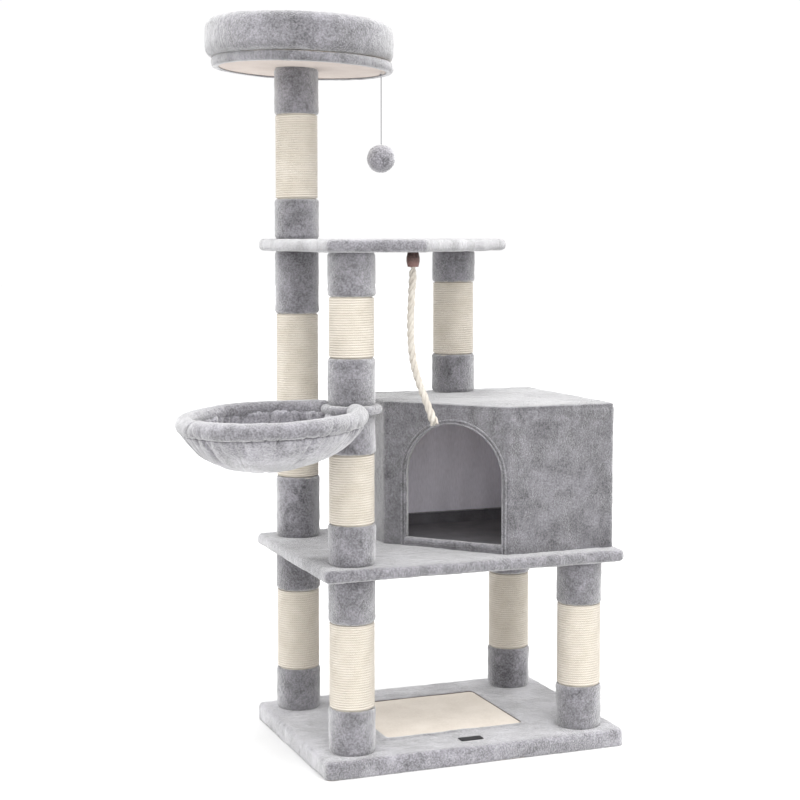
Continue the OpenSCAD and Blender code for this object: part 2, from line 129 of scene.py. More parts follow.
def frames_along(line):
    """Direction, side and other side at each point of a line, turning as little as it can."""
    direction = unit(np.gradient(line, axis=0))
    side = np.zeros_like(line)
    first = np.cross(direction[0], [0, 1, 0])
    if np.linalg.norm(first) < 0.3:
        first = np.cross(direction[0], [1, 0, 0])
    side[0] = unit(first)
    for i in range(1, len(line)):
        side[i] = unit(side[i - 1] - direction[i] * (side[i - 1] @ direction[i]))
    return direction, side, np.cross(direction, side)


# ---------- pieces ----------

def new_object(name, points, faces):
    """A plain object of points and faces, for a piece, a cutter or a shape to soften."""
    mesh = bpy.data.meshes.new(name)
    mesh.from_pydata(np.asarray(points).tolist(), [], faces)
    made = bpy.data.objects.new(name, mesh)
    bpy.context.scene.collection.objects.link(made)
    face_outwards(made)
    return made


def piece(name, points, faces, material, body="tree", place=(0, 0, 0)):
    """A mesh object that rides on a body and takes its finish from a slot."""
    made = new_object(name, np.asarray(points) - place, faces)
    made.location = place
    finish(made, material, body)
    return made


def finish(made, material, body):
    made.data.materials.clear()
    made.data.materials.append(material)
    made.data.polygons.foreach_set("use_smooth", [True] * len(made.data.polygons))
    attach(made, body)


def face_outwards(made):
    work = bmesh.new()
    work.from_mesh(made.data)
    bmesh.ops.recalc_face_normals(work, faces=work.faces)
    work.to_mesh(made.data)
    work.free()


def grid_faces(rows, cols, start=0, closed=True):
    """Faces of a sheet of rows of points; closed joins each row's last point to its first."""
    row = np.arange(rows - 1)[:, None] * cols
    col = np.arange(cols if closed else cols - 1)[None, :]
    after = (col + 1) % cols
    corners = [row + col, row + after, row + cols + after, row + cols + col]
    return (np.stack(corners, -1).reshape(-1, 4) + start).tolist()


def ring_faces(rows, cols):
    """Faces of a sheet that closes in both directions, as a doughnut does."""
    row = np.arange(rows)[:, None]
    col = np.arange(cols)[None, :]
    next_row = (row + 1) % rows * cols
    next_col = (col + 1) % cols
    corners = [row * cols + col, row * cols + next_col, next_row + next_col, next_row + col]
    return np.stack(corners, -1).reshape(-1, 4).tolist()


def capped_faces(rows, cols, start=0):
    """Faces of a tube with both of its ends closed."""
    last = start + (rows - 1) * cols
    ends = [list(range(start, start + cols))[::-1], list(range(last, last + cols))]
    return grid_faces(rows, cols, start) + ends


def rings_round(line, radii, sides, side, other):
    """Rings of points round a line; radii is one number or one for each point."""
    radii = np.broadcast_to(radii, len(line))[:, None, None]
    angle = full_turn(sides)[None, :, None]
    ring = np.cos(angle) * side[:, None, :] + np.sin(angle) * other[:, None, :]
    return (line[:, None, :] + radii * ring).reshape(-1, 3)


def tube_points(line, radii, sides):
    return rings_round(line, radii, sides, *frames_along(line)[1:])


def tube(name, line, radii, sides, material):
    points = tube_points(line, radii, sides)
    return piece(name, points, capped_faces(len(line), sides), material)


def loop_tube(name, loop, radius, sides, material, body="tree"):
    """A tube that follows a closed loop of points."""
    direction = unit(np.roll(loop, -1, 0) - np.roll(loop, 1, 0))
    side = unit(np.cross(direction, UP))
    points = rings_round(loop, radius, sides, side, np.cross(direction, side))
    return piece(name, points, ring_faces(len(loop), sides), material, body)


def get_points(made):
    points = np.empty(len(made.data.vertices) * 3, np.float32)
    made.data.vertices.foreach_get("co", points)
    return points.reshape(-1, 3).astype(float)


def set_points(made, points):
    made.data.vertices.foreach_set("co", np.asarray(points, np.float32).ravel())
    made.data.update()


def get_normals(made):
    normals = np.empty(len(made.data.vertices) * 3, np.float32)
    made.data.vertex_normals.foreach_get("vector", normals)
    return normals.reshape(-1, 3).astype(float)


def displace(made, amount):
    """Moves each point along its normal by amount(points)."""
    points = get_points(made)
    set_points(made, points + get_normals(made) * amount(points)[:, None])


def apply_modifiers(made):
    graph = bpy.context.evaluated_depsgraph_get()
    mesh = bpy.data.meshes.new_from_object(made.evaluated_get(graph))
    made.modifiers.clear()
    made.data = mesh


def remesh(made, voxel, smoothing=4):
    """Gives a closed shape even faces of about voxel across and softens its edges."""
    change = made.modifiers.new("remesh", "REMESH")
    change.mode = "VOXEL"
    change.voxel_size = voxel
    if smoothing:
        soften = made.modifiers.new("soften", "SMOOTH")
        soften.iterations = smoothing
    apply_modifiers(made)


def cut(made, *cutters):
    """Takes the cutters' shapes out of a piece and removes the cutters."""
    for cutter in cutters:
        change = made.modifiers.new("cut", "BOOLEAN")
        change.operation = "DIFFERENCE"
        change.solver = "MANIFOLD"
        change.object = cutter
        apply_modifiers(made)
        bpy.data.objects.remove(cutter)


# ---------- plans ----------

def inset(plan, distance):
    """A convex anticlockwise outline moved inwards by a distance."""
    before = unit(plan - np.roll(plan, 1, 0))
    after = unit(np.roll(plan, -1, 0) - plan)
    left_before = np.stack([-before[:, 1], before[:, 0]], 1)
    left_after = np.stack([-after[:, 1], after[:, 0]], 1)
    share = 1 + np.sum(left_before * left_after, axis=1, keepdims=True)
    return plan + distance * (left_before + left_after) / share


def rounded(plan, radius, steps=8):
    """The same outline with round corners, as points all round."""
    centres = inset(plan, radius)
    points = []
    for i, centre in enumerate(centres):
        before = unit(plan[i] - plan[i - 1])
        after = unit(plan[(i + 1) % len(plan)] - plan[i])
        start = math.atan2(-before[0], before[1])
        turn = math.acos(np.clip(before @ after, -1, 1))
        for angle in start + turn * np.linspace(0, 1, steps + 1):
            points.append(centre + radius * np.array([math.cos(angle), math.sin(angle)]))
    return np.array(points)


def round_plan(centre, radius, steps=64):
    turn = full_turn(steps)
    return np.column_stack([centre[0] + radius * np.cos(turn), centre[1] + radius * np.sin(turn)])


def at_height(outline, z):
    return np.column_stack([outline, np.full(len(outline), z)])


def solid(name, rings):
    """A plain closed shape through rings of equal count, for cutting or softening."""
    return new_object(name, np.vstack(rings), capped_faces(len(rings), len(rings[0])))


def slab(name, plan, corner, low, high, low_edge=0.0, high_edge=0.0):
    """An upright slab on a plan, with its bottom and top edges rounded to a radius."""
    rings = []
    for edge, z, side in ((low_edge, low, -1), (high_edge, high, 1)):
        steps = np.linspace(0, 90, 6 if edge else 1)
        for angle in np.radians(steps[::-1] if side < 0 else steps):
            pulled = edge * (1 - math.cos(angle))
            outline = rounded(inset(plan, pulled), corner - pulled)
            rings.append(at_height(outline, z - side * edge * (1 - math.sin(angle))))
    return solid(name, rings)


def box_plan(low, high):
    return np.array([[high[0], low[1]], [high[0], high[1]], [low[0], high[1]], [low[0], low[1]]])


# ---------- materials ----------

class Shader:
    """A Principled material and short ways to add nodes to it."""

    def __init__(self, name, **constants):
        self.material = bpy.data.materials.new(name)
        self.material.use_nodes = True
        self.nodes = self.material.node_tree.nodes
        self.links = self.material.node_tree.links
        self.surface = self.nodes["Principled BSDF"]
        for socket, value in constants.items():
            self.surface.inputs[socket.replace("_", " ")].default_value = value

    def add(self, kind, settings=None, **inputs):
        node = self.nodes.new("ShaderNode" + kind)
        for key, value in (settings or {}).items():
            setattr(node, key, value)
        for key, value in inputs.items():
            self.join(value, node.inputs[int(key[1:]) if key[1:].isdigit() else key])
        return node.outputs[0]

    def join(self, value, socket):
        if isinstance(value, bpy.types.NodeSocket):
            self.links.new(value, socket)
        else:
            socket.default_value = value

    def place(self):
        return self.add("TexCoord").node.outputs["Object"]

    def noise(self, scale, detail=2.0, place=None, distortion=0.0):
        return self.add("TexNoise", Scale=scale, Detail=detail, Distortion=distortion,
                        Vector=place or self.place())

    def maths(self, operation, first, second=0.0):
        return self.add("Math", {"operation": operation}, _0=first, _1=second)

    def weighed(self, first, share, second, other_share):
        """The sum of two values, each times its own share."""
        return self.maths("ADD", self.maths("MULTIPLY", first, share),
                          self.maths("MULTIPLY", second, other_share))

    def ranged(self, value, low, high, to_low=0.0, to_high=1.0):
        """Value carried from the range low..high to another range, and kept in it."""
        return self.add("MapRange", _0=value, _1=low, _2=high, _3=to_low, _4=to_high)

    def mix(self, share, first, second):
        node = self.nodes.new("ShaderNodeMix")
        node.data_type = "RGBA"
        self.join(share, node.inputs[0])
        self.join(first, node.inputs[6])
        self.join(second, node.inputs[7])
        return node.outputs[2]

    def fibrous(self, fibres, patches, dark, light, fleck, full_at=0.65, most=0.5):
        """Patches between two tones, with pale or dark fibres over them."""
        tone = self.mix(self.ranged(patches, 0.3, 0.7), dark, light)
        return self.mix(self.ranged(fibres, 0.35, full_at, 0.0, most), tone, fleck)

    def stretched(self, x, y, z):
        """The place in the object, scaled along each axis."""
        return self.add("VectorMath", {"operation": "MULTIPLY"}, _0=self.place(), _1=(x, y, z))

    def finish(self, colour, height=None, depth=0.0, strength=1.0, roughness=None):
        self.links.new(colour, self.surface.inputs["Base Color"])
        if roughness is not None:
            self.links.new(roughness, self.surface.inputs["Roughness"])
        if height is not None:
            bump = self.add("Bump", Strength=strength, Distance=depth, Height=height)
            self.links.new(bump, self.surface.inputs["Normal"])
        return self.material


def grey(value):
    """A grey that leans a little to violet."""
    return (value, value * 0.972, value * 1.06, 1)


def plush_material(name, tone):
    """Short dense nap: brushed patches, tufts, single fibres and a pale velvet edge."""
    shader = Shader(name, Roughness=0.95, Sheen_Weight=1.0, Sheen_Roughness=0.5,
                    Specular_IOR_Level=0.1)
    patches = shader.ranged(shader.noise(15, 3, distortion=1.2), 0.38, 0.64)
    smears = shader.ranged(shader.noise(62, 3, distortion=0.8), 0.34, 0.68)
    tufts = shader.noise(300, 2, distortion=0.4)
    fibres = shader.noise(1000, 2)
    tuft_share = shader.ranged(tufts, 0.36, 0.64)
    broad = shader.weighed(patches, 0.55, smears, 0.45)
    share = shader.weighed(broad, 0.56, tuft_share, 0.44)
    colour = shader.mix(share, grey(tone * 0.30), grey(tone * 1.80))
    ruffled = shader.ranged(shader.noise(11, 2), 0.4, 0.62, 0.35, 1.0)
    height = shader.maths("MULTIPLY", ruffled, shader.weighed(tufts, 0.75, fibres, 0.5))
    return shader.finish(colour, height, 3.5 * mm, 1.0)


SISAL_PITCH = 4.5 * mm


def sisal_material():
    """Twisted plant fibre: the twist of the strands, loose fibres and shade in the grooves."""
    shader = Shader("sisal", Roughness=0.85, Specular_IOR_Level=0.25, Sheen_Weight=0.15)
    place = shader.place()
    parts = shader.add("SeparateXYZ", _0=place).node.outputs
    angle = shader.maths("ARCTAN2", parts[1], parts[0])
    turns = shader.maths("DIVIDE", angle, 2 * math.pi)
    wound = shader.maths("SUBTRACT", shader.maths("DIVIDE", parts[2], SISAL_PITCH), turns)
    across = shader.maths("SUBTRACT", shader.maths("FRACT", wound), 0.5)
    along = shader.maths("MULTIPLY", turns, 66.0)
    twist = shader.maths("SINE", shader.maths(
        "MULTIPLY", shader.maths("ADD", along, shader.maths("MULTIPLY", across, 1.1)),
        2 * math.pi))
    groove = shader.ranged(shader.maths("ABSOLUTE", across), 0.28, 0.5)
    fibres = shader.noise(1.0, 3, shader.stretched(900, 900, 420))
    strand = shader.ranged(twist, -1.0, 0.4)
    worn = shader.fibrous(fibres, shader.noise(28, 2), (0.50, 0.455, 0.385, 1),
                          (0.61, 0.565, 0.50, 1), (0.72, 0.69, 0.63, 1))
    shaded = shader.mix(shader.maths("MULTIPLY", shader.maths("SUBTRACT", 1.0, strand), 0.3),
                        worn, (0.34, 0.28, 0.21, 1))
    colour = shader.mix(shader.maths("MULTIPLY", groove, 0.5), shaded, (0.30, 0.25, 0.18, 1))
    height = shader.maths("ADD", shader.maths("MULTIPLY", strand, 0.6), fibres)
    return shader.finish(colour, height, 0.6 * mm, 0.8)


def mat_material():
    """Flat sisal weave: warp and weft of coarse fibre."""
    shader = Shader("mat", Roughness=0.9, Specular_IOR_Level=0.2)
    fibres = shader.noise(1.0, 3, shader.stretched(260, 1100, 600))
    colour = shader.fibrous(fibres, shader.noise(24, 3), (0.64, 0.575, 0.50, 1),
                            (0.74, 0.675, 0.60, 1), (0.84, 0.78, 0.70, 1), 0.68, 0.6)
    return shader.finish(colour, fibres, 0.5 * mm, 0.7)


def rope_material():
    """Cotton rope: fine fibres that follow the strands, with darker grey flecks."""
    shader = Shader("rope", Roughness=0.9, Specular_IOR_Level=0.15, Sheen_Weight=0.3)
    fibres = shader.noise(1.0, 3, shader.stretched(1400, 1400, 380))
    colour = shader.fibrous(fibres, shader.noise(60, 2), (0.47, 0.43, 0.38, 1),
                            (0.58, 0.55, 0.50, 1), (0.40, 0.37, 0.32, 1))
    return shader.finish(colour, fibres, 0.5 * mm, 0.7)


def felt_material(name, dark, light, sheen=0.2, scale=420.0, streak=1.0):
    """Thin cloth with a short nap; streak above 1 draws the nap downwards."""
    shader = Shader(name, Roughness=0.95, Specular_IOR_Level=0.1, Sheen_Weight=sheen)
    grain = shader.noise(1.0, 3, shader.stretched(scale, scale, scale / streak))
    patches = shader.noise(1.0, 3, shader.stretched(26, 26, 26 / streak))
    share = shader.maths("ADD", shader.ranged(grain, 0.3, 0.7, 0.0, 0.5),
                         shader.ranged(patches, 0.3, 0.7, 0.0, 0.5))
    return shader.finish(shader.mix(share, dark, light), grain, 0.8 * mm, 0.8)


def cap_material():
    """Dark brown satin with worn flecks, paler towards its lower edge and darker up under the
    platform: painted shade.
    """
    shader = Shader("cap", Specular_IOR_Level=0.4)
    height = shader.add("SeparateXYZ", _0=shader.place()).node.outputs[2]
    wear = shader.noise(260, 4)
    low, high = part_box("rope_cap")
    # pale runs from 1 at the foot to 0 near the top: the darker top, under the platform, is
    # painted shade.
    pale = shader.ranged(height, low.z + 4 * mm, high.z - 9 * mm, 1.0, 0.0)
    base = shader.mix(pale, (0.036, 0.018, 0.016, 1), (0.16, 0.085, 0.075, 1))
    colour = shader.mix(shader.ranged(wear, 0.45, 0.75, 0.0, 0.35), base, (0.24, 0.15, 0.13, 1))
    rough = shader.ranged(wear, 0.3, 0.7, 0.42, 0.6)
    return shader.finish(colour, wear, 0.15 * mm, 0.5, rough)


def board_material():
    """Pressed wood chips."""
    shader = Shader("board", Roughness=0.8, Specular_IOR_Level=0.3)
    chips = shader.add("TexVoronoi", Scale=320, Vector=shader.place()).node.outputs["Color"]
    fibres = shader.noise(1.0, 3, shader.stretched(90, 700, 700))
    chip = shader.add("SeparateColor", _0=chips)
    share = shader.maths("ADD", shader.maths("MULTIPLY", chip, 0.6),
                         shader.ranged(fibres, 0.3, 0.7, 0.0, 0.4))
    colour = shader.mix(share, (0.30, 0.19, 0.10, 1), (0.58, 0.43, 0.27, 1))
    return shader.finish(colour, share, 0.2 * mm, 0.5)


def paper_material():
    """Kraft paper with the spiral joint of its strips."""
    shader = Shader("paper_tube", Roughness=0.8, Specular_IOR_Level=0.25)
    fibres = shader.noise(500, 3)
    parts = shader.add("SeparateXYZ", _0=shader.place()).node.outputs
    strips = shader.maths("FRACT", shader.maths(
        "MULTIPLY", shader.maths("ADD", parts[2], parts[0]), 14.0))
    joint = shader.ranged(strips, 0.0, 0.03, 0.5, 1.0)
    share = shader.maths("MULTIPLY", shader.ranged(fibres, 0.3, 0.7, 0.4, 1.0), joint)
    colour = shader.mix(share, (0.24, 0.15, 0.08, 1), (0.48, 0.35, 0.21, 1))
    return shader.finish(colour, share, 0.2 * mm, 0.5)


def steel_material():
    """Zinc plating with fine scratches."""
    shader = Shader("steel", Metallic=1.0)
    scratches = shader.noise(1.0, 3, shader.stretched(300, 300, 3000))
    colour = shader.mix(scratches, (0.48, 0.48, 0.47, 1), (0.72, 0.73, 0.74, 1))
    rough = shader.ranged(scratches, 0.3, 0.7, 0.28, 0.46)
    return shader.finish(colour, scratches, 0.05 * mm, 0.4, rough)


def tab_material():
    """Black woven tape: fine ribs across the tab."""
    shader = Shader("tab", Roughness=0.7, Specular_IOR_Level=0.3)
    ribs = shader.add("TexWave", {"bands_direction": "X"}, Scale=380, Distortion=0.6,
                      Vector=shader.place()).node.outputs["Fac"]
    grain = shader.noise(1500, 2)
    share = shader.weighed(ribs, 0.6, grain, 0.4)
    colour = shader.mix(share, (0.006, 0.006, 0.007, 1), (0.028, 0.028, 0.032, 1))
    return shader.finish(colour, ribs, 0.15 * mm, 0.8)


def string_material():
    """Thin spun string."""
    shader = Shader("string", Roughness=0.8, Specular_IOR_Level=0.2)
    parts = shader.add("SeparateXYZ", _0=shader.place()).node.outputs
    spun = shader.maths("SINE", shader.maths("MULTIPLY", shader.maths(
        "ADD", parts[2], shader.maths("ADD", parts[0], parts[1])), 3200.0))
    share = shader.ranged(spun, -1.0, 1.0)
    colour = shader.mix(share, (0.09, 0.09, 0.10, 1), (0.22, 0.22, 0.24, 1))
    return shader.finish(colour, share, 0.1 * mm, 0.6)


PLUSH = plush_material("plush", 0.17)
# A lighter copy of the plush for the hammock's bowl: painted light on its lower outside.
BOWL_PLUSH_PAINTED_LIGHT = plush_material("bowl_plush_painted_light", 0.25)
# A darker copy of the plush for the house and its door tape: painted shade on its walls.
HOUSE_PLUSH_PAINTED_SHADE = plush_material("house_plush", 0.125)
# A lighter copy of the plush for the base: painted light on its top, which the platform above
# keeps in shade.
BASE_PLUSH_PAINTED_LIGHT = plush_material("base_plush", 0.225)
PALE_PLUSH = plush_material("pale_plush", 0.26)
SISAL = sisal_material()
MAT = mat_material()
ROPE = rope_material()
# The lining's near-white tones are paler than its grey cloth: painted light inside the house,
# where little light reaches.
LINING = felt_material("lining", grey(0.70), grey(0.97), streak=5.0)
DARK_LINING = felt_material("dark_lining", grey(0.11), grey(0.19), 0.1)
UNDERSIDE = felt_material("underside_cloth", (0.50, 0.43, 0.385, 1), (0.61, 0.545, 0.50, 1), 0.1,
                          600.0)
# Dark brown thread for the mat's whip-stitched edge, dark enough to also stand in for the shade
# along its border: partly painted shade.
EDGE_THREAD_AND_SHADE = felt_material("thread", (0.055, 0.04, 0.03, 1), (0.16, 0.12, 0.09, 1), 0.1, 900.0)
CAP = cap_material()
BOARD = board_material()
PAPER = paper_material()
STEEL = steel_material()
TAB = tab_material()
STRING = string_material()


# ---------- cords ----------

toy_place = np.array([-77.5, 101]) * mm
string_top = 1304.7 * mm
string_length = 134 * mm
string_d = 1.6 * mm

rope_place = np.array([-120, -178]) * mm
rope_aside = [0, -1, -2.5, -3.5, -4.2, -4.2, -3.6, -2, 1, 5.5, 11.5, 18.5, 26, 34, 40]
rope_heights = [927, 905, 882, 860, 838, 816, 796, 776, 756, 737, 718, 699, 679, 658, 641]
rope_direction = np.array([0.93, -0.36])
rope_mouth_z = 931 * mm
ROPE_LAY = 48 * mm
STRAND_R = 3.8 * mm
STRAND_OFFSET = 3.5 * mm


def run_along(line):
    """How far along a line each of its points is."""
    return np.concatenate([[0], np.cumsum(np.linalg.norm(np.diff(line, axis=0), axis=1))])


def add_string():
    heights = string_top - np.linspace(0, string_length, 24)
    curve = bpy.data.curves.new("ball_string", "CURVE")
    curve.dimensions = "3D"
    curve.bevel_depth = string_d / 2
    curve.bevel_resolution = 3
    line = curve.splines.new("POLY")
    line.points.add(len(heights) - 1)
    for point, z in zip(line.points, heights):
        point.co = (toy_place[0], toy_place[1], z, 1)
    string = bpy.data.objects.new("ball_string", curve)
    bpy.context.scene.collection.objects.link(string)
    curve.materials.append(STRING)
    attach(string, "ball")
    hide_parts("toy_string")
    return string


def rope_line():
    aside = np.array(rope_aside)[:, None] * mm * rope_direction
    route = np.column_stack([rope_place + aside, np.array(rope_heights) * mm])
    mouth = [rope_place[0], rope_place[1], rope_mouth_z]
    return smooth_line(np.vstack([mouth, route]), 14)


def neck(run):
    """How much of its full width the rope has where it is squeezed into the cap."""
    return np.clip(0.55 + 0.45 * (run - 3 * mm) / (6 * mm), 0.55, 1)


def strand_lines(line, strands):
    """Lines of the rope's strands, wound round its centre and splayed at the cut end."""
    _, side, other = frames_along(line)
    run = run_along(line)
    left = (run[-1] - run)[:, None]
    splay = 1 + 0.85 * np.clip(1 - left / (30 * mm), 0, 1) ** 1.5
    splay = splay * neck(run)[:, None]
    for k in range(strands):
        turn = (2 * np.pi * (run / ROPE_LAY + k / strands))[:, None]
        yield line + STRAND_OFFSET * splay * (np.cos(turn) * side + np.sin(turn) * other)


def add_rope():
    line = rope_line()
    narrowing = neck(run_along(line))
    sides = 14
    points = []
    faces = []
    for k, strand in enumerate(strand_lines(line, 3)):
        along = np.linspace(0, 1, len(strand))
        radii = STRAND_R * (1 + 0.05 * noise(strand, 9 * mm, k))
        radii *= np.clip((1 - along) / 0.03, 0.55, 1) * narrowing
        faces += capped_faces(len(strand), sides, k * len(strand) * sides)
        points.append(tube_points(strand, radii, sides))
    rope = piece("hanging_rope", np.vstack(points), faces, ROPE, "rope")
    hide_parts("toy_rope")
    return rope, line


def add_rope_tail(line):
    """Loose fibres that fan out from the rope's cut end."""
    direction, side, other = frames_along(line)
    end = line[-1] - direction[-1] * 20 * mm
    points = []
    faces = []
    sides = 5
    for k in range(90):
        angle = 2 * np.pi * rng.random()
        spread = math.sqrt(rng.random())
        outward = math.cos(angle) * side[-1] + math.sin(angle) * other[-1]
        run = np.linspace(0, 1, 7)[:, None]
        length = (17 + 6 * rng.random()) * mm
        bend = (4.5 * run + 4.0 * run**2) * spread * mm
        wander = rng.normal(0, 0.5 * mm, 3) * run**2
        fibre = end + direction[-1] * length * run + outward * bend + wander
        radii = 0.55 * mm * (1 - 0.6 * run[:, 0])
        faces += capped_faces(len(fibre), sides, k * len(fibre) * sides)
        points.append(tube_points(fibre, radii, sides))
    return piece("rope_fibres", np.vstack(points), faces, ROPE, "rope")


string = add_string()
rope, rope_path = add_rope()
rope_tail = add_rope_tail(rope_path)
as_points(rope_path)


# ---------- plush ----------

def nap(points, seed=0):
    """Height of the plush above its backing: tufts, brushed waves and slack."""
    return mm * (0.45 * noise(points, 6 * mm, seed) + 0.5 * noise(points, 17 * mm, seed + 1)
                 + 0.6 * noise(points, 60 * mm, seed + 2))


def cover(name, node, shape, cutters, amount=nap, material=PLUSH):
    """A plush skin: the shape made soft and napped, then hollowed by the cutters."""
    remesh(shape, 3.2 * mm)
    displace(shape, amount)
    cut(shape, *cutters)
    shape.name = name
    finish(shape, material, "tree")
    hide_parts(node)
    return shape


plush_thick = 4 * mm
corner_r = 14 * mm
edge_r = 9 * mm

base_low, base_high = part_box("base_cover")
top_low, top_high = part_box("top_cover")
mat_low, mat_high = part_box("scratch_mat")
tab_low, tab_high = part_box("blank_tab")
top_slant_x = top_low.x + 190 * mm
top_slant_y = base_high.y - 70 * mm

base_plan = box_plan(base_low, base_high)
top_plan = np.array([[top_slant_x, top_low.y], [top_high.x, top_slant_y],
                     [top_high.x, top_high.y], [top_low.x, top_high.y],
                     [top_low.x, top_low.y]])


def outside_box(points, low, high):
    """How far each point is outside a box's plan; less than 0 inside it."""
    x = np.maximum(low.x - points[:, 0], points[:, 0] - high.x)
    y = np.maximum(low.y - points[:, 1], points[:, 1] - high.y)
    return np.maximum(x, y)


def base_nap(points):
    """The nap of the base, rolled up round the mat and pressed down under the tab."""
    roll = 1.8 * mm * bump(outside_box(points, mat_low, mat_high) - 6 * mm, 5 * mm)
    on_top = points[:, 2] > base_high.z - 2 * mm
    pressed = np.clip(outside_box(points, tab_low, tab_high) / (8 * mm), 0, 1)
    height = nap(points) + roll * on_top
    return np.where(on_top, height * pressed - 0.6 * mm * (1 - pressed), height)


def add_covers():
    board = slab("cutter", inset(base_plan, plush_thick), corner_r - plush_thick, -10 * mm,
                 base_high.z - plush_thick)
    hole = slab("cutter", box_plan(mat_low, mat_high), 10 * mm, mat_low.z - mm,
                base_high.z + 20 * mm)
    foot = base_low.z - 2.3 * mm
    shape = slab("base", base_plan, corner_r, foot, base_high.z, 2 * mm, edge_r)
    cover("base_plush", "base_cover", shape, [board, hole], base_nap, BASE_PLUSH_PAINTED_LIGHT)
    for name, node, plan in (("middle_platform_plush", "middle_cover", base_plan),
                             ("top_platform_plush", "top_cover", top_plan)):
        low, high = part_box(node)
        board = slab("cutter", inset(plan, plush_thick), corner_r - plush_thick,
                     low.z + plush_thick, high.z - plush_thick)
        shape = slab(name, plan, corner_r, low.z, high.z, edge_r, edge_r)
        cover(name, node, shape, [board])


add_covers()


# ---------- mat and tab ----------

def close_below(made, z):
    """Draws a sheet's border straight down to a height and closes it there."""
    work = bmesh.new()
    work.from_mesh(made.data)
    border = [edge for edge in work.edges if edge.is_boundary]
    extruded = bmesh.ops.extrude_edge_only(work, edges=border)["geom"]
    foot = [item for item in extruded if isinstance(item, bmesh.types.BMVert)]
    for vertex in foot:
        vertex.co.z = z
    bmesh.ops.holes_fill(work, edges=[edge for edge in work.edges if edge.is_boundary], sides=0)
    bmesh.ops.recalc_face_normals(work, faces=work.faces)
    work.to_mesh(made.data)
    work.free()


def add_mat():
    """A woven mat: ribs along the base's length, crossed by a thinner weft."""
    step = 1.3 * mm
    rib = 3.9 * mm
    weft = 5.2 * mm
    corner = 10 * mm
    x = np.linspace(mat_low.x, mat_high.x, round((mat_high.x - mat_low.x) / step))
    y = np.linspace(mat_low.y, mat_high.y, round((mat_high.y - mat_low.y) / step))
    points = np.stack(np.meshgrid(x, y), -1).reshape(-1, 2)
    middle = (np.array([x[0], y[0]]) + [x[-1], y[-1]]) / 2
    half = np.array([x[-1] - x[0], y[-1] - y[0]]) / 2 - corner
    past = np.abs(points - middle) - half
    in_corner = (past > 0).all(1)
    reach = np.where(in_corner, np.maximum(np.linalg.norm(past, axis=1), 1e-9), 1)
    square = np.where(in_corner, past.max(1), 1)
    pulled = np.sign(points - middle) * (half + past * (square / reach)[:, None]) + middle
    points = np.where(in_corner[:, None], pulled, points)
    row = np.floor(points[:, 1] / rib)
    ribs = np.abs(np.sin(np.pi * points[:, 1] / rib)) ** 0.7
    over = 0.5 + 0.5 * np.sin(2 * np.pi * points[:, 0] / weft + np.pi * row)
    flat = np.column_stack([points, np.zeros(len(points))])
    height = 0.55 * ribs * (0.55 + 0.45 * over) + 0.25 * noise(flat, 40 * mm, 5)
    surface = at_height(points, mat_high.z) + np.outer(height - 0.4, UP) * mm
    mat = piece("scratching_mat", surface, grid_faces(len(y), len(x), closed=False), MAT)
    close_below(mat, mat_low.z)
    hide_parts("scratch_mat")
    # A dark thread round the mat's border: its whip-stitched edge, and painted shade along that
    # border.
    edge = at_height(rounded(inset(box_plan(mat_low, mat_high), 0.2 * mm), corner), mat_high.z)
    loop_tube("mat_edge_thread_and_shade", edge + [0, 0, 0.1 * mm], 0.9 * mm, 8, EDGE_THREAD_AND_SHADE)


def add_tab():
    tab = slab("fabric_tab", box_plan(tab_low, tab_high), 1.6 * mm, tab_low.z, tab_high.z, 0,
               0.45 * mm)
    finish(tab, TAB, "tree")
    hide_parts("blank_tab")


add_mat()
add_tab()


# ---------- posts ----------

tube_r = 38 * mm
sisal_r = 42.2 * mm
sisal_under = 3 * mm
sleeve_r = 43.6 * mm

front_left = np.array([-235, -162]) * mm
back_left = np.array([-235, 162]) * mm
front_right = np.array([235, -162]) * mm
back_right = np.array([235, 162]) * mm
roof_post = np.array([103, 157]) * mm

# Each post: name, place, and the lengths of its lower and upper plush sleeves
POSTS = [
    ("front_left_lower", front_left, 83, 83),
    ("back_left_lower", back_left, 83, 83),
    ("front_right_lower", front_right, 83, 83),
    ("back_right_lower", back_right, 83, 83),
    ("front_left_middle", front_left, 75, 73),
    ("front_left_upper", front_left, 86, 80),
    ("back_left_long", back_left, 122, 124),
    ("perch_post", back_left, 79, 90),
    ("roof_post", roof_post, 78, 64),
]


def away_from(place, points):
    """Level directions from a post's axis to each point."""
    return unit((points - [place[0], place[1], 0]) * [1, 1, 0])


def add_sisal(name, place, low, high):
    """Rope wound tightly round a tube, as a ridged skin, with its ends under the plush."""
    cols = 84
    rows_per_turn = 7
    groove_depth = 3.7 * mm
    groove_half = 1.5 * mm
    rows = round((high - low) / SISAL_PITCH * rows_per_turn)
    z = np.linspace(low, high, rows)[:, None]
    angle = full_turn(cols)[None, :]
    wound = z / SISAL_PITCH - angle / (2 * np.pi)
    across = 2 * (wound - np.floor(wound)) - 1
    radius = tube_r + (sisal_r - tube_r) * (0.5 + 0.5 * np.sqrt(1 - 0.96 * across**2))
    from_plush = np.minimum(z - low, high - z) - sisal_under
    radius = radius - groove_depth * bump(from_plush - 0.7 * mm, groove_half, 4)
    points = polar(radius, angle, z) + [place[0], place[1], 0]
    points += away_from(place, points) * (0.22 * mm * noise(points, 7 * mm, 3))[:, None]
    inner = tube_r + 0.1 * mm
    circle = round_plan(place, inner, cols)
    points = np.vstack([points, at_height(circle, high), at_height(circle, low)])
    made = piece(name + "_winding", points, ring_faces(rows + 2, cols), SISAL,
                 place=(place[0], place[1], 0))
    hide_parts(name + "_sisal")


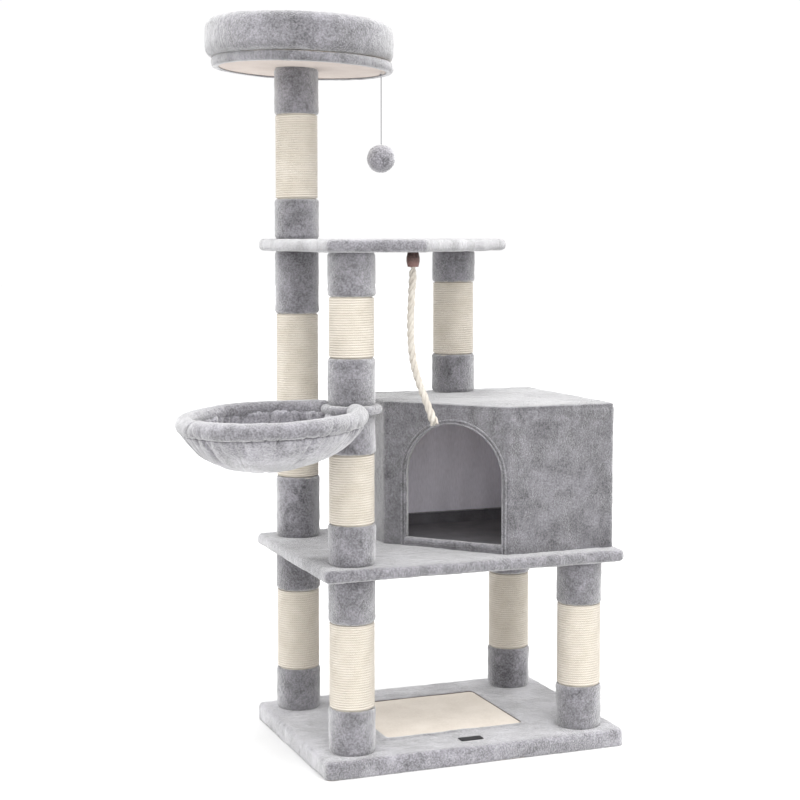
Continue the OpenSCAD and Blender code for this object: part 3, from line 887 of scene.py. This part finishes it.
def sleeve_points(place, low, high, free_top, seed):
    """A plush sleeve as rings of points: its free end turned under, a seam at the back."""
    turned_end = 3.5 * mm
    seam_angle = 1.2
    seam_depth = 1.6 * mm
    pinch_at_board = 2.8 * mm
    cols = 92
    rows = max(round((high - low) / (3.1 * mm)), 8)
    wall = sleeve_r - tube_r
    z = np.linspace(low, high, rows)
    from_free = (high - z if free_top else z - low)[:, None]
    turned = np.clip(from_free / turned_end, 0, 1)
    angle = full_turn(cols)[None, :]
    radius = sleeve_r - 0.45 * wall * (1 - np.sqrt(1 - (1 - turned) ** 2))
    radius = radius + 0.5 * mm * bump(from_free - 9 * mm, 5 * mm)
    from_seam = np.abs(angle - seam_angle)
    from_seam = np.minimum(from_seam, 2 * np.pi - from_seam) * sleeve_r
    radius = radius - seam_depth * bump(from_seam, 2.6 * mm)
    from_board = (z - low if free_top else high - z)[:, None]
    radius = radius - pinch_at_board * bump(from_board, 4.2 * mm, 4)
    points = polar(radius, angle, z[:, None]) + [place[0], place[1], 0]
    height = np.maximum(nap(points, seed), -1.2 * mm)
    ragged = bump(np.repeat(from_free[:, 0], cols), 4 * mm, 1) * 0.7 * mm
    points += away_from(place, points) * height[:, None]
    points[:, 2] += ragged * noise(points, 5 * mm, seed + 4) * (1 if free_top else -1)
    circle = round_plan(place, tube_r + 0.2 * mm, cols)
    return np.vstack([points, at_height(circle, high), at_height(circle, low)]), rows + 2, cols


def add_sleeves(name, place, low, high, lower, upper, seed):
    buried = 1.5 * mm
    first, rows, cols = sleeve_points(place, low - buried, low + lower, True, seed)
    second, more_rows, _ = sleeve_points(place, high - upper, high + buried, False, seed + 20)
    faces = ring_faces(rows, cols)
    more = (np.array(ring_faces(more_rows, cols)) + len(first)).tolist()
    made = piece(name + "_sleeves", np.vstack([first, second]), faces + more, PLUSH)
    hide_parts(name + "_plush")


for index, (name, place, lower, upper) in enumerate(POSTS):
    low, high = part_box(name + "_plush")
    add_sisal(name, place, low.z + lower * mm - sisal_under, high.z - upper * mm + sisal_under)
    add_sleeves(name, place, low.z, high.z, lower * mm, upper * mm, 40 * index)


# ---------- house ----------

HOUSE_PLAN = np.array([[298, -187], [298, 195], [-107, 195], [-107, 9], [68, -187]]) * mm
house_low, house_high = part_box("house_cover")
house_skin = 3.5 * mm
wall_inner = 8.5 * mm
lining_thick = 2.3 * mm
lining_gap = 24 * mm
door_w = 206 * mm
door_top = 244 * mm
sill = 14 * mm
door_middle = 150 * mm
door_along = unit(HOUSE_PLAN[4] - HOUSE_PLAN[3])
door_inward = np.array([-door_along[1], door_along[0]])
roof_seam_z = house_high.z - 7 * mm


def at_door(points):
    """Points given along the door's wall, into the house and above the platform."""
    points = np.asarray(points, float)
    flat = (HOUSE_PLAN[3] + np.outer(points[:, 0] + door_middle, door_along)
            + np.outer(points[:, 1], door_inward))
    return np.column_stack([flat, points[:, 2] + house_low.z])


def arch_line(margin, low):
    """The arch as points along the wall and heights, from its left foot to its right one."""
    half = door_w / 2 + margin
    spring = door_top - door_w / 2
    leg = np.linspace(low, spring, 12, endpoint=False)
    turn = np.linspace(np.pi, 0, 40)
    left = np.column_stack([np.full(len(leg), -half), leg])
    over = np.column_stack([half * np.cos(turn), spring + half * np.sin(turn)])
    return np.vstack([left, over, left[::-1] * [-1, 1]])


def arch_at(margin, low, depth):
    line = arch_line(margin, low)
    return at_door(np.column_stack([line[:, 0], np.full(len(line), depth), line[:, 1]]))


def arch_cutter():
    return solid("cutter", [arch_at(0, sill, -40 * mm), arch_at(0, sill, 40 * mm)])


def house_nap(points):
    """The nap of the house, with the sewn edge of its roof."""
    seam = bump(points[:, 2] - roof_seam_z, 2 * mm)
    loose = 1.8 * mm * np.clip((points[:, 2] - house_high.z + 60 * mm) / (50 * mm), 0, 1)
    on_wall = points[:, 2] < house_high.z - 2 * mm
    return nap(points, 9) - 2.6 * mm * seam + loose * on_wall


def add_house_cover():
    inside = slab("cutter", inset(HOUSE_PLAN, house_skin), mm, house_low.z - 20 * mm,
                  house_high.z - house_skin)
    shape = slab("house", HOUSE_PLAN, 9 * mm, house_low.z - 6 * mm, house_high.z, 0, 4 * mm)
    cover("house_plush", "house_cover", shape, [inside, arch_cutter()], house_nap,
          HOUSE_PLUSH_PAINTED_SHADE)


def evenly(outline, step):
    """A closed outline's points, evenly spaced."""
    loop = np.vstack([outline, outline[:1]])
    run = run_along(loop)
    at = np.linspace(0, run[-1], round(run[-1] / step), endpoint=False)
    return np.column_stack([np.interp(at, run, loop[:, 0]), np.interp(at, run, loop[:, 1])])


def inside_walls(step):
    """The outline of the walls' inner faces, with a point at every step."""
    return evenly(rounded(inset(HOUSE_PLAN, wall_inner + 0.1 * mm), 4 * mm), step)


def add_lining():
    """Thin cloth that hangs inside the walls in slack folds, with a hem at its foot."""
    outline = inside_walls(5 * mm)
    low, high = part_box("house_lining")
    inward = unit(outline.mean(0) - outline)
    heights = np.linspace(low.z, high.z, 48)
    rings = [at_height(outline, z) for z in heights[::-1]]
    for z in heights:
        folds = 1.6 * mm * (0.5 + 0.5 * noise(at_height(outline, z * 0.18), 26 * mm, 31))
        hem = 1.1 * mm * bump(z - low.z - 3 * mm, 3.5 * mm)
        rings.append(at_height(outline + inward * (lining_thick + folds + hem)[:, None], z))
    lining = piece("house_lining_cloth", np.vstack(rings), ring_faces(len(rings), len(outline)),
                   LINING)
    cut(lining, arch_cutter())
    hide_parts("house_lining")
    hem_line = at_height(outline + inward * 3.2 * mm, low.z + 1.2 * mm)
    hem = tube("house_lining_hem", hem_line, 1.3 * mm, 8, PALE_PLUSH)
    cut(hem, arch_cutter())


def add_floor_liner():
    """A dark sheet over the floor, turned up under the lining's hem."""
    outline = inside_walls(8 * mm)
    middle = outline.mean(0)
    floor = house_low.z
    liner = 1.6 * mm
    inner = outline + unit(middle - outline) * liner
    rings = [at_height(outline, floor + 0.2 * mm), at_height(outline, floor + lining_gap),
             at_height(inner, floor + lining_gap)]
    for share in np.linspace(0.75, 0.1, 4):
        ripple = 0.6 * mm * noise(at_height(inner, share), 20 * mm, 4)
        rings.append(at_height(inner + unit(middle - outline) * ripple[:, None],
                               floor + liner + (lining_gap - liner) * share))
    for share in np.linspace(0.97, 0.06, 26):
        ring = middle + (inner - middle) * share
        wave = liner + 0.7 * mm * noise(at_height(ring, 0), 30 * mm, 8)
        rings.append(np.column_stack([ring, floor + np.maximum(wave, 0.9 * mm)]))
    made = piece("house_floor_cloth", np.vstack(rings),
                 capped_faces(len(rings), len(outline)), DARK_LINING)
    cut(made, arch_cutter())
    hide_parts("house_floor_liner")


def section_sweep(name, lines, material):
    """A skin through lines of points that run side by side round a section."""
    points = np.stack(lines, 1).reshape(-1, 3)
    return piece(name, points, capped_faces(len(lines[0]), len(lines)), material)


def add_door_edge():
    """Two rolls of piping, a plush tape over the boards' cut edge and a soft rolled sill."""
    rolls = []
    faces = []
    for offset, radius in ((0.8 * mm, 1.3 * mm), (7.5 * mm, 1.4 * mm)):
        line = smooth_line(arch_at(offset, 0.5 * mm, -1.3 * mm), 3)
        radii = radius * (1 + 0.12 * noise(line, 6 * mm, 2))
        faces += capped_faces(len(line), 10, sum(len(roll) for roll in rolls))
        rolls.append(tube_points(line, radii, 10))
    piping = piece("door_rolls", np.vstack(rolls), faces, PLUSH)
    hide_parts("door_piping")
    depth = wall_inner + lining_thick
    section = [(-0.9, -1.2), (0.6, -1.6), (0.6, depth / mm + 1.4), (-0.9, depth / mm + 1.0)]
    loops = []
    for margin, inward in section:
        loops.append(arch_at(margin * mm, sill, inward * mm))
    section_sweep("door_tape", loops, HOUSE_PLUSH_PAINTED_SHADE)
    along = np.linspace(-door_w / 2 - mm, door_w / 2 + mm, 70)
    line = at_door(np.column_stack([along, np.full(70, 4.2 * mm), np.full(70, sill - 2.5 * mm)]))
    radii = 6.2 * mm * (1 + 0.12 * noise(line, 24 * mm, 3))
    roll = tube("door_sill_tape", line, radii, 18, PLUSH)
    displace(roll, lambda points: 0.5 * nap(points, 36))


add_house_cover()
add_lining()
add_floor_liner()
add_door_edge()


# ---------- hammock ----------

hammock_z = 672 * mm
hammock_turn = math.radians(197)
hammock_drop = math.radians(2.8)
ring_reach = 175 * mm
ring_r = 155 * mm
rim_tube_r = 15.5 * mm
bowl_rim_r = ring_r + 4 * mm
bowl_depth = 75 * mm
collar_r = 56 * mm


def moved(points, place):
    """Points carried by a placement matrix."""
    return np.asarray(points) @ np.array(place.to_3x3()).T + np.array(place.translation)


def at_hammock(points):
    """Points round the ring's centre, with +X away from the post, put in their place."""
    place = (Matrix.Translation((front_left[0], front_left[1], hammock_z))
             @ Matrix.Rotation(hammock_turn, 4, "Z") @ Matrix.Rotation(hammock_drop, 4, "Y")
             @ Matrix.Translation((ring_reach, 0, 0)))
    return moved(points, place)


def creases(run, down, loop, count, depths, widths, slants, reaches):
    """Sharp folds across a gathered edge: each starts at the edge and fades as it goes down."""
    depth = np.zeros_like(run)
    for k in range(count):
        at = (k + 0.8 * rng.random()) / count * loop
        fold = rng.uniform(*depths) * mm
        width = rng.uniform(*widths) * mm
        slant = rng.uniform(*slants) * mm
        away = (run - at - slant * down + loop / 2) % loop - loop / 2
        fade = np.clip(1 - down / rng.uniform(*reaches), 0, 1) ** 0.7
        depth += fold * fade * bump(away, width * (1 + down), 1)
    return depth


def add_rim():
    """The padded sleeve round the ring, gathered along its length; it ends in the collar."""
    rows = 560
    cols = 44
    reach = math.radians(165.5)
    seam_angle = 1.6 * np.pi
    seam_depth = 4 * mm
    loop = 2 * np.pi * ring_r
    turn = np.linspace(-reach, reach, rows)[:, None]
    around = full_turn(cols)[None, :]
    ones = np.ones((rows, cols))
    run = (turn * ring_r * ones).ravel()
    place = np.stack([run, (9 * mm * np.cos(around) * ones).ravel(),
                      (9 * mm * np.sin(around) * ones).ravel()], -1)
    from_seam = np.abs((around - seam_angle + np.pi) % (2 * np.pi) - np.pi) / np.pi
    from_seam = (from_seam * ones).ravel()
    folds = creases(run, from_seam, loop, 46, (0.4, 4.2), (1.3, 3.2), (-24, 24), (0.3, 0.95))
    swell = 0.9 * mm * noise(place * [1, 0.5, 0.5], 26 * mm, 51)
    seam = seam_depth * bump(from_seam, 0.055)
    radius = rim_tube_r + 0.6 * mm + (swell + 0.7 * nap(place, 52) - folds - seam)
    radius = radius.reshape(rows, cols)
    end = np.clip((reach - np.abs(turn)) / 0.06, 0, 1)
    radius = radius * np.sqrt(np.clip(1 - (1 - end) ** 2, 0.1, 1))
    points = polar(ring_r + radius * np.cos(around), turn, radius * np.sin(around))
    rim = piece("hammock_rim_sleeve", at_hammock(points), capped_faces(rows, cols), PLUSH)
    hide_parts("hammock_rim")


def bowl_layer(rows, cols, inside):
    """The outer or the inner face of the bowl, from the rim down to its middle."""
    share = np.linspace(0, 0.985, rows)[:, None]
    turn = full_turn(cols)[None, :]
    angle = share * np.pi / 2
    out = (bowl_rim_r - 2 * mm) * np.cos(angle) ** 0.92
    height = -rim_tube_r + 3 * mm - (bowl_depth + mm) * np.sin(angle) ** 1.18
    if inside:
        near_rim = bump(share, 0.20)
        tucked = bump(share, 0.04)
        out = out - 3.4 * mm - 19 * mm * near_rim + 8 * mm * tucked
        height = height + 3.4 * mm * share + 11 * mm * near_rim + 3 * mm * tucked
    points = polar(out, turn, height)
    ones = np.ones((rows, cols))
    run = (turn * bowl_rim_r * ones).ravel()
    down = (share * ones).ravel()
    loop = 2 * np.pi * bowl_rim_r
    outward = unit(points + [0, 0, 30 * mm])
    tucks = creases(run, down, loop, 54, (2.0, 7.5), (2.2, 5.0), (-26, 26), (0.25, 0.95))
    swags = creases(run, down, loop, 15, (3.5, 8.0), (8, 14), (-90, 60), (0.8, 1.3))
    slack = 1.8 * mm * noise(points, 46 * mm, 61) * np.sin(down * np.pi)
    if inside:
        tucks = -0.7 * tucks
    gathered = 0 if inside else 5 * mm * bump(down, 0.03)
    swell = 0 if inside else 5 * mm * bump(down, 0.16)
    points += outward * (3.0 * mm * (1 - down) - tucks - swags + slack - gathered
                         + swell + 0.8 * nap(points, 62))[:, None]
    points[:, 0] += 14 * mm * np.sin(down * np.pi / 2) ** 2
    return points


def clear_of_post(points):
    """Pushes cloth out of the way of the front left post, towards the middle of the bowl."""
    clear = sleeve_r + 4.5 * mm
    gap = np.linalg.norm(points[:, :2] - front_left, axis=1, keepdims=True)
    inward = unit(at_hammock([[0, 0, 0]])[0, :2] - front_left)
    points[:, :2] += 1.3 * np.maximum(clear - gap, 0) * inward
    away = points[:, :2] - front_left
    gap = np.linalg.norm(away, axis=1, keepdims=True)
    points[:, :2] = np.where(gap < clear, front_left + away / gap * clear, points[:, :2])
    return points


def add_bowl():
    """The plush bowl, gathered on to the rim: its inner layer reaches up inside the rim."""
    rows = 60
    cols = 480
    outer = bowl_layer(rows, cols, inside=False)
    inner = bowl_layer(rows, cols, inside=True)
    points = np.vstack([outer.reshape(rows, cols, 3)[::-1].reshape(-1, 3), inner])
    points = clear_of_post(at_hammock(points))
    bowl = piece("hammock_bowl_cloth", points, capped_faces(2 * rows, cols), BOWL_PLUSH_PAINTED_LIGHT)
    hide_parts("hammock_bowl")


def add_collar():
    low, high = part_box("hammock_collar")
    rings = []
    edge = 6.5 * mm
    for angle in np.radians(np.linspace(-90, 90, 9)):
        middle = low.z + edge if angle < 0 else high.z - edge
        radius = collar_r - edge * (1 - math.cos(angle))
        rings.append(at_height(round_plan(front_left, radius), middle + edge * math.sin(angle)))
    collar = solid("collar", rings)
    remesh(collar, 2.4 * mm)
    displace(collar, lambda points: nap(points, 70))
    collar.name = "hammock_collar_plush"
    finish(collar, PLUSH, "tree")
    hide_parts("hammock_collar")


add_rim()
add_bowl()
add_collar()


# ---------- perch ----------

perch_lean = math.radians(2)
perch_offset = np.array([12, -3, 0]) * mm
rim_shift = np.array([-7.5, 0, 0]) * mm
perch_z = 1320 * mm
perch_r = 190 * mm
perch_height = 94 * mm
bolster_w = 50 * mm
board_top = 16.5 * mm


def at_bed(points):
    """Points round the perch's axis, from its underside up, put in their place."""
    place = (Matrix.Translation((back_left[0], back_left[1], perch_z))
             @ Matrix.Rotation(perch_lean, 4, "Y") @ Matrix.Translation(perch_offset))
    return moved(points, place)


def above_underside(points):
    """How high points are above the perch's underside, along its axis."""
    origin, tip = at_bed([[0, 0, 0], [0, 0, 1]])
    return (points - origin) @ (tip - origin)


def lathe_points(profile, cols):
    """A closed profile of radii and heights, turned round the axis."""
    profile = np.asarray(profile, float)
    return polar(profile[:, :1], full_turn(cols)[None, :], profile[:, 1:])


def padded_section(inner, outer, low, high, corner):
    """An upright section with round corners, between two radii and two heights."""
    section = np.array([[outer, low], [outer, high], [inner, high], [inner, low]])
    return evenly(rounded(section, corner, 7), 6 * mm)


def inflate(made, reach, pinned_below):
    """Blows a closed cloth skin up a little, so that it crowns and wrinkles like a cushion.

    No point moves further than reach, and those below a height over the perch's underside stay.
    """
    frames = 20
    remesh(made, 5 * mm, 2)
    start = get_points(made)
    group = made.vertex_groups.new(name="pinned")
    held = np.nonzero(above_underside(start) < pinned_below)[0].tolist()
    group.add(held, 1.0, "REPLACE")
    change = made.modifiers.new("cloth", "CLOTH")
    change.settings.use_pressure = True
    change.settings.uniform_pressure_force = 4.0
    change.settings.effector_weights.gravity = 0
    change.settings.tension_stiffness = 12
    change.settings.compression_stiffness = 12
    change.settings.bending_stiffness = 0.4
    change.settings.vertex_group_mass = "pinned"
    change.point_cache.frame_start = 1
    change.point_cache.frame_end = frames
    for index in range(1, frames + 1):
        bpy.context.scene.frame_set(index)
    apply_modifiers(made)
    change = get_points(made) - start
    distance = np.linalg.norm(change, axis=1, keepdims=True)
    set_points(made, start + change * np.minimum(1, reach / np.maximum(distance, 1e-9)))
    bpy.context.scene.frame_set(1)


def subdivide(made):
    change = made.modifiers.new("fine", "SUBSURF")
    change.levels = 1
    change.render_levels = 1
    apply_modifiers(made)


def add_perch_rim():
    """The stuffed rim, sewn down to the band at its foot."""
    shrink = 2 * mm
    profile = padded_section(perch_r - bolster_w + shrink, perch_r - shrink, board_top - 0.5 * mm,
                             perch_height - shrink, 19 * mm)
    rim = new_object("perch_bolster", at_bed(lathe_points(profile, 120) + rim_shift),
                     ring_faces(len(profile), 120))
    inflate(rim, 4 * mm, board_top + 3 * mm)
    subdivide(rim)
    displace(rim, lambda points: nap(points, 80) + 0.9 * mm * noise(points, 95 * mm, 84))
    finish(rim, PLUSH, "tree")
    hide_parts("perch_rim")


def add_perch_pad():
    """The cushion inside the rim, crowned and held at its edge."""
    profile = [(0.5 * mm, board_top + 4.2 * mm), (60 * mm, board_top + 1.5 * mm),
               (138 * mm, board_top + 1.5 * mm), (142 * mm, board_top + 5 * mm),
               (142 * mm, board_top + 11 * mm), (136 * mm, board_top + 16 * mm),
               (60 * mm, board_top + 19 * mm), (0.5 * mm, board_top + 19 * mm)]
    pad = new_object("perch_cushion", at_bed(lathe_points(profile, 96) + rim_shift),
                     ring_faces(len(profile), 96))
    inflate(pad, 5 * mm, board_top + 6 * mm)
    subdivide(pad)
    displace(pad, lambda points: 0.8 * nap(points, 90) + 1.5 * mm * noise(points, 70 * mm, 94))
    finish(pad, PLUSH, "tree")
    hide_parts("perch_pad")


def add_perch_band():
    """The plush band round the board, rolled in under its edge."""
    inner = 176.2 * mm
    profile = [(inner, 15 * mm), (inner, 0.5 * mm), (168 * mm, 0.2 * mm), (166 * mm, -1.2 * mm),
               (167.5 * mm, -2.6 * mm), (172 * mm, -3.0 * mm), (177 * mm, -2.6 * mm),
               (179.6 * mm, 0.0), (181 * mm, 3.5 * mm), (181.4 * mm, 7 * mm),
               (181 * mm, 11 * mm), (179.4 * mm, 14.6 * mm), (177.6 * mm, 16.0 * mm)]
    profile = smooth_line(np.column_stack([profile, np.zeros(len(profile))]), 3)[:, :2]
    points = at_bed(lathe_points(profile, 380))
    band = piece("perch_edge_band", points, ring_faces(len(profile), 380), PLUSH)
    displace(band, lambda places: 0.6 * nap(places, 100))
    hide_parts("perch_band")


def add_perch_lining():
    """Pale cloth glued under the board, with slight creases."""
    profile = [(r * mm, 0.2 * mm) for r in np.linspace(3, 171.5, 60)]
    profile += [(171.5 * mm, 1.4 * mm), (3 * mm, 1.4 * mm)]
    points = lathe_points(profile, 160)
    below = points[:, 2] < mm
    crease = 0.25 * mm * noise(points * [1, 0.35, 1], 22 * mm, 110)
    points[:, 2] -= np.where(below, np.abs(crease), 0)
    cloth = piece("perch_underside_cloth", at_bed(points), ring_faces(len(profile), 160),
                  UNDERSIDE)
    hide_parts("perch_lining")


add_perch_rim()
add_perch_pad()
add_perch_band()
add_perch_lining()


# ---------- toys ----------

def add_ball():
    low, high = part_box("toy_ball")
    middle = (np.array(low) + np.array(high)) / 2
    radius = (high.x - low.x) / 2 - 0.6 * mm
    work = bmesh.new()
    bmesh.ops.create_icosphere(work, subdivisions=6, radius=radius)
    mesh = bpy.data.meshes.new("plush_ball")
    work.to_mesh(mesh)
    work.free()
    ball = bpy.data.objects.new("plush_ball", mesh)
    bpy.context.scene.collection.objects.link(ball)
    set_points(ball, get_points(ball) + middle)
    displace(ball, lambda points: mm * (0.7 * noise(points, 3.2 * mm, 120)
                                        + 0.7 * noise(points, 9 * mm, 121)
                                        + 0.5 * noise(points, 25 * mm, 122)))
    finish(ball, PALE_PLUSH, "ball")
    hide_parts("toy_ball")
    return ball


def add_knot(name, centre, size, radius, material, body, node):
    """A small overhand knot, as a trefoil of cord."""
    turn = full_turn(90)[:, None]
    line = np.hstack([np.sin(turn) + 2 * np.sin(2 * turn), np.cos(turn) - 2 * np.cos(2 * turn),
                      -1.2 * np.sin(3 * turn)])
    trefoil_reach = 3.1
    line = line * (size - radius) / trefoil_reach + centre
    knot = loop_tube(name, line, radius, 12, material, body)
    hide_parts(node)


ball = add_ball()
knot_centre = np.array([toy_place[0], toy_place[1], 1308.5 * mm])
add_knot("string_knot", knot_centre, 3.4 * mm, 1.0 * mm, STRING, "ball_knot",
         "toy_knot")
rope_knot_centre = np.array([rope_place[0], rope_place[1], 934 * mm])
add_knot("rope_end_knot", rope_knot_centre, 6.4 * mm, 2.6 * mm, ROPE, "rope_knot",
         "rope_knot")


# ---------- parts kept from the frame ----------

KEPT = [
    (BOARD, ["base_board", "middle_board", "top_board", "perch_board", "post_plugs",
             "house_back_panel", "house_left_panel", "house_front_panel", "house_right_panel",
             "house_door_panel", "house_roof_panel"]),
    (PAPER, ["post_tubes"]),
    (STEEL, ["insert_nuts", "post_bolts", "joining_studs", "hammock_ring", "toy_staple"]),
    (CAP, ["rope_cap"]),
]

for material, names in KEPT:
    for name in names:
        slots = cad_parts[name].data.materials
        for index in range(len(slots)):
            slots[index] = material
        if not slots:
            slots.append(material)


# ---------- floor and light ----------

def add_floor():
    shader = Shader("floor", Roughness=0.9, Specular_IOR_Level=0.1)
    grain = shader.noise(8, 3)
    material = shader.finish(shader.mix(grain, (0.58, 0.58, 0.58, 1), (0.62, 0.62, 0.62, 1)))
    far = 30
    corners = [(-far, -far, 0), (far, -far, 0), (far, far, 0), (-far, far, 0)]
    floor = new_object("floor", corners, [(0, 1, 2, 3)])
    floor.data.materials.append(material)


def add_sun(name, towards, strength, softness):
    """Even light that travels along a direction, as soft as a lamp of that angle across."""
    data = bpy.data.lights.new(name, "SUN")
    data.energy = strength
    data.angle = math.radians(softness)
    light = bpy.data.objects.new(name, data)
    light.rotation_euler = Vector(towards).to_track_quat("-Z", "Y").to_euler()
    bpy.context.scene.collection.objects.link(light)


def add_lights():
    add_sun("top_light", (0.04, 0.22, -1.0), 4.5, 70)
    add_sun("front_light", (0.22, 0.95, -0.2), 0.9, 60)


def add_studio():
    """White walls all round, brightest behind the object; as a backdrop they are plain white."""
    world = bpy.data.worlds.new("studio")
    world.use_nodes = True
    nodes = world.node_tree.nodes
    links = world.node_tree.links
    direction = nodes.new("ShaderNodeSeparateXYZ")
    links.new(nodes.new("ShaderNodeTexCoord").outputs["Generated"], direction.inputs[0])
    strength = nodes.new("ShaderNodeMapRange")
    for index, value in enumerate((-1.0, 0.6, 0.92, 1.5), 1):
        strength.inputs[index].default_value = value
    links.new(direction.outputs["Y"], strength.inputs[0])
    seen = nodes.new("ShaderNodeMix")
    links.new(nodes.new("ShaderNodeLightPath").outputs["Is Camera Ray"], seen.inputs[0])
    links.new(strength.outputs[0], seen.inputs[2])
    seen.inputs[3].default_value = 1.02
    links.new(seen.outputs[0], nodes["Background"].inputs["Strength"])
    nodes["Background"].inputs["Color"].default_value = (1, 1, 1, 1)
    bpy.context.scene.world = world


add_floor()
add_lights()
add_studio()
bpy.context.scene.view_settings.view_transform = "Standard"
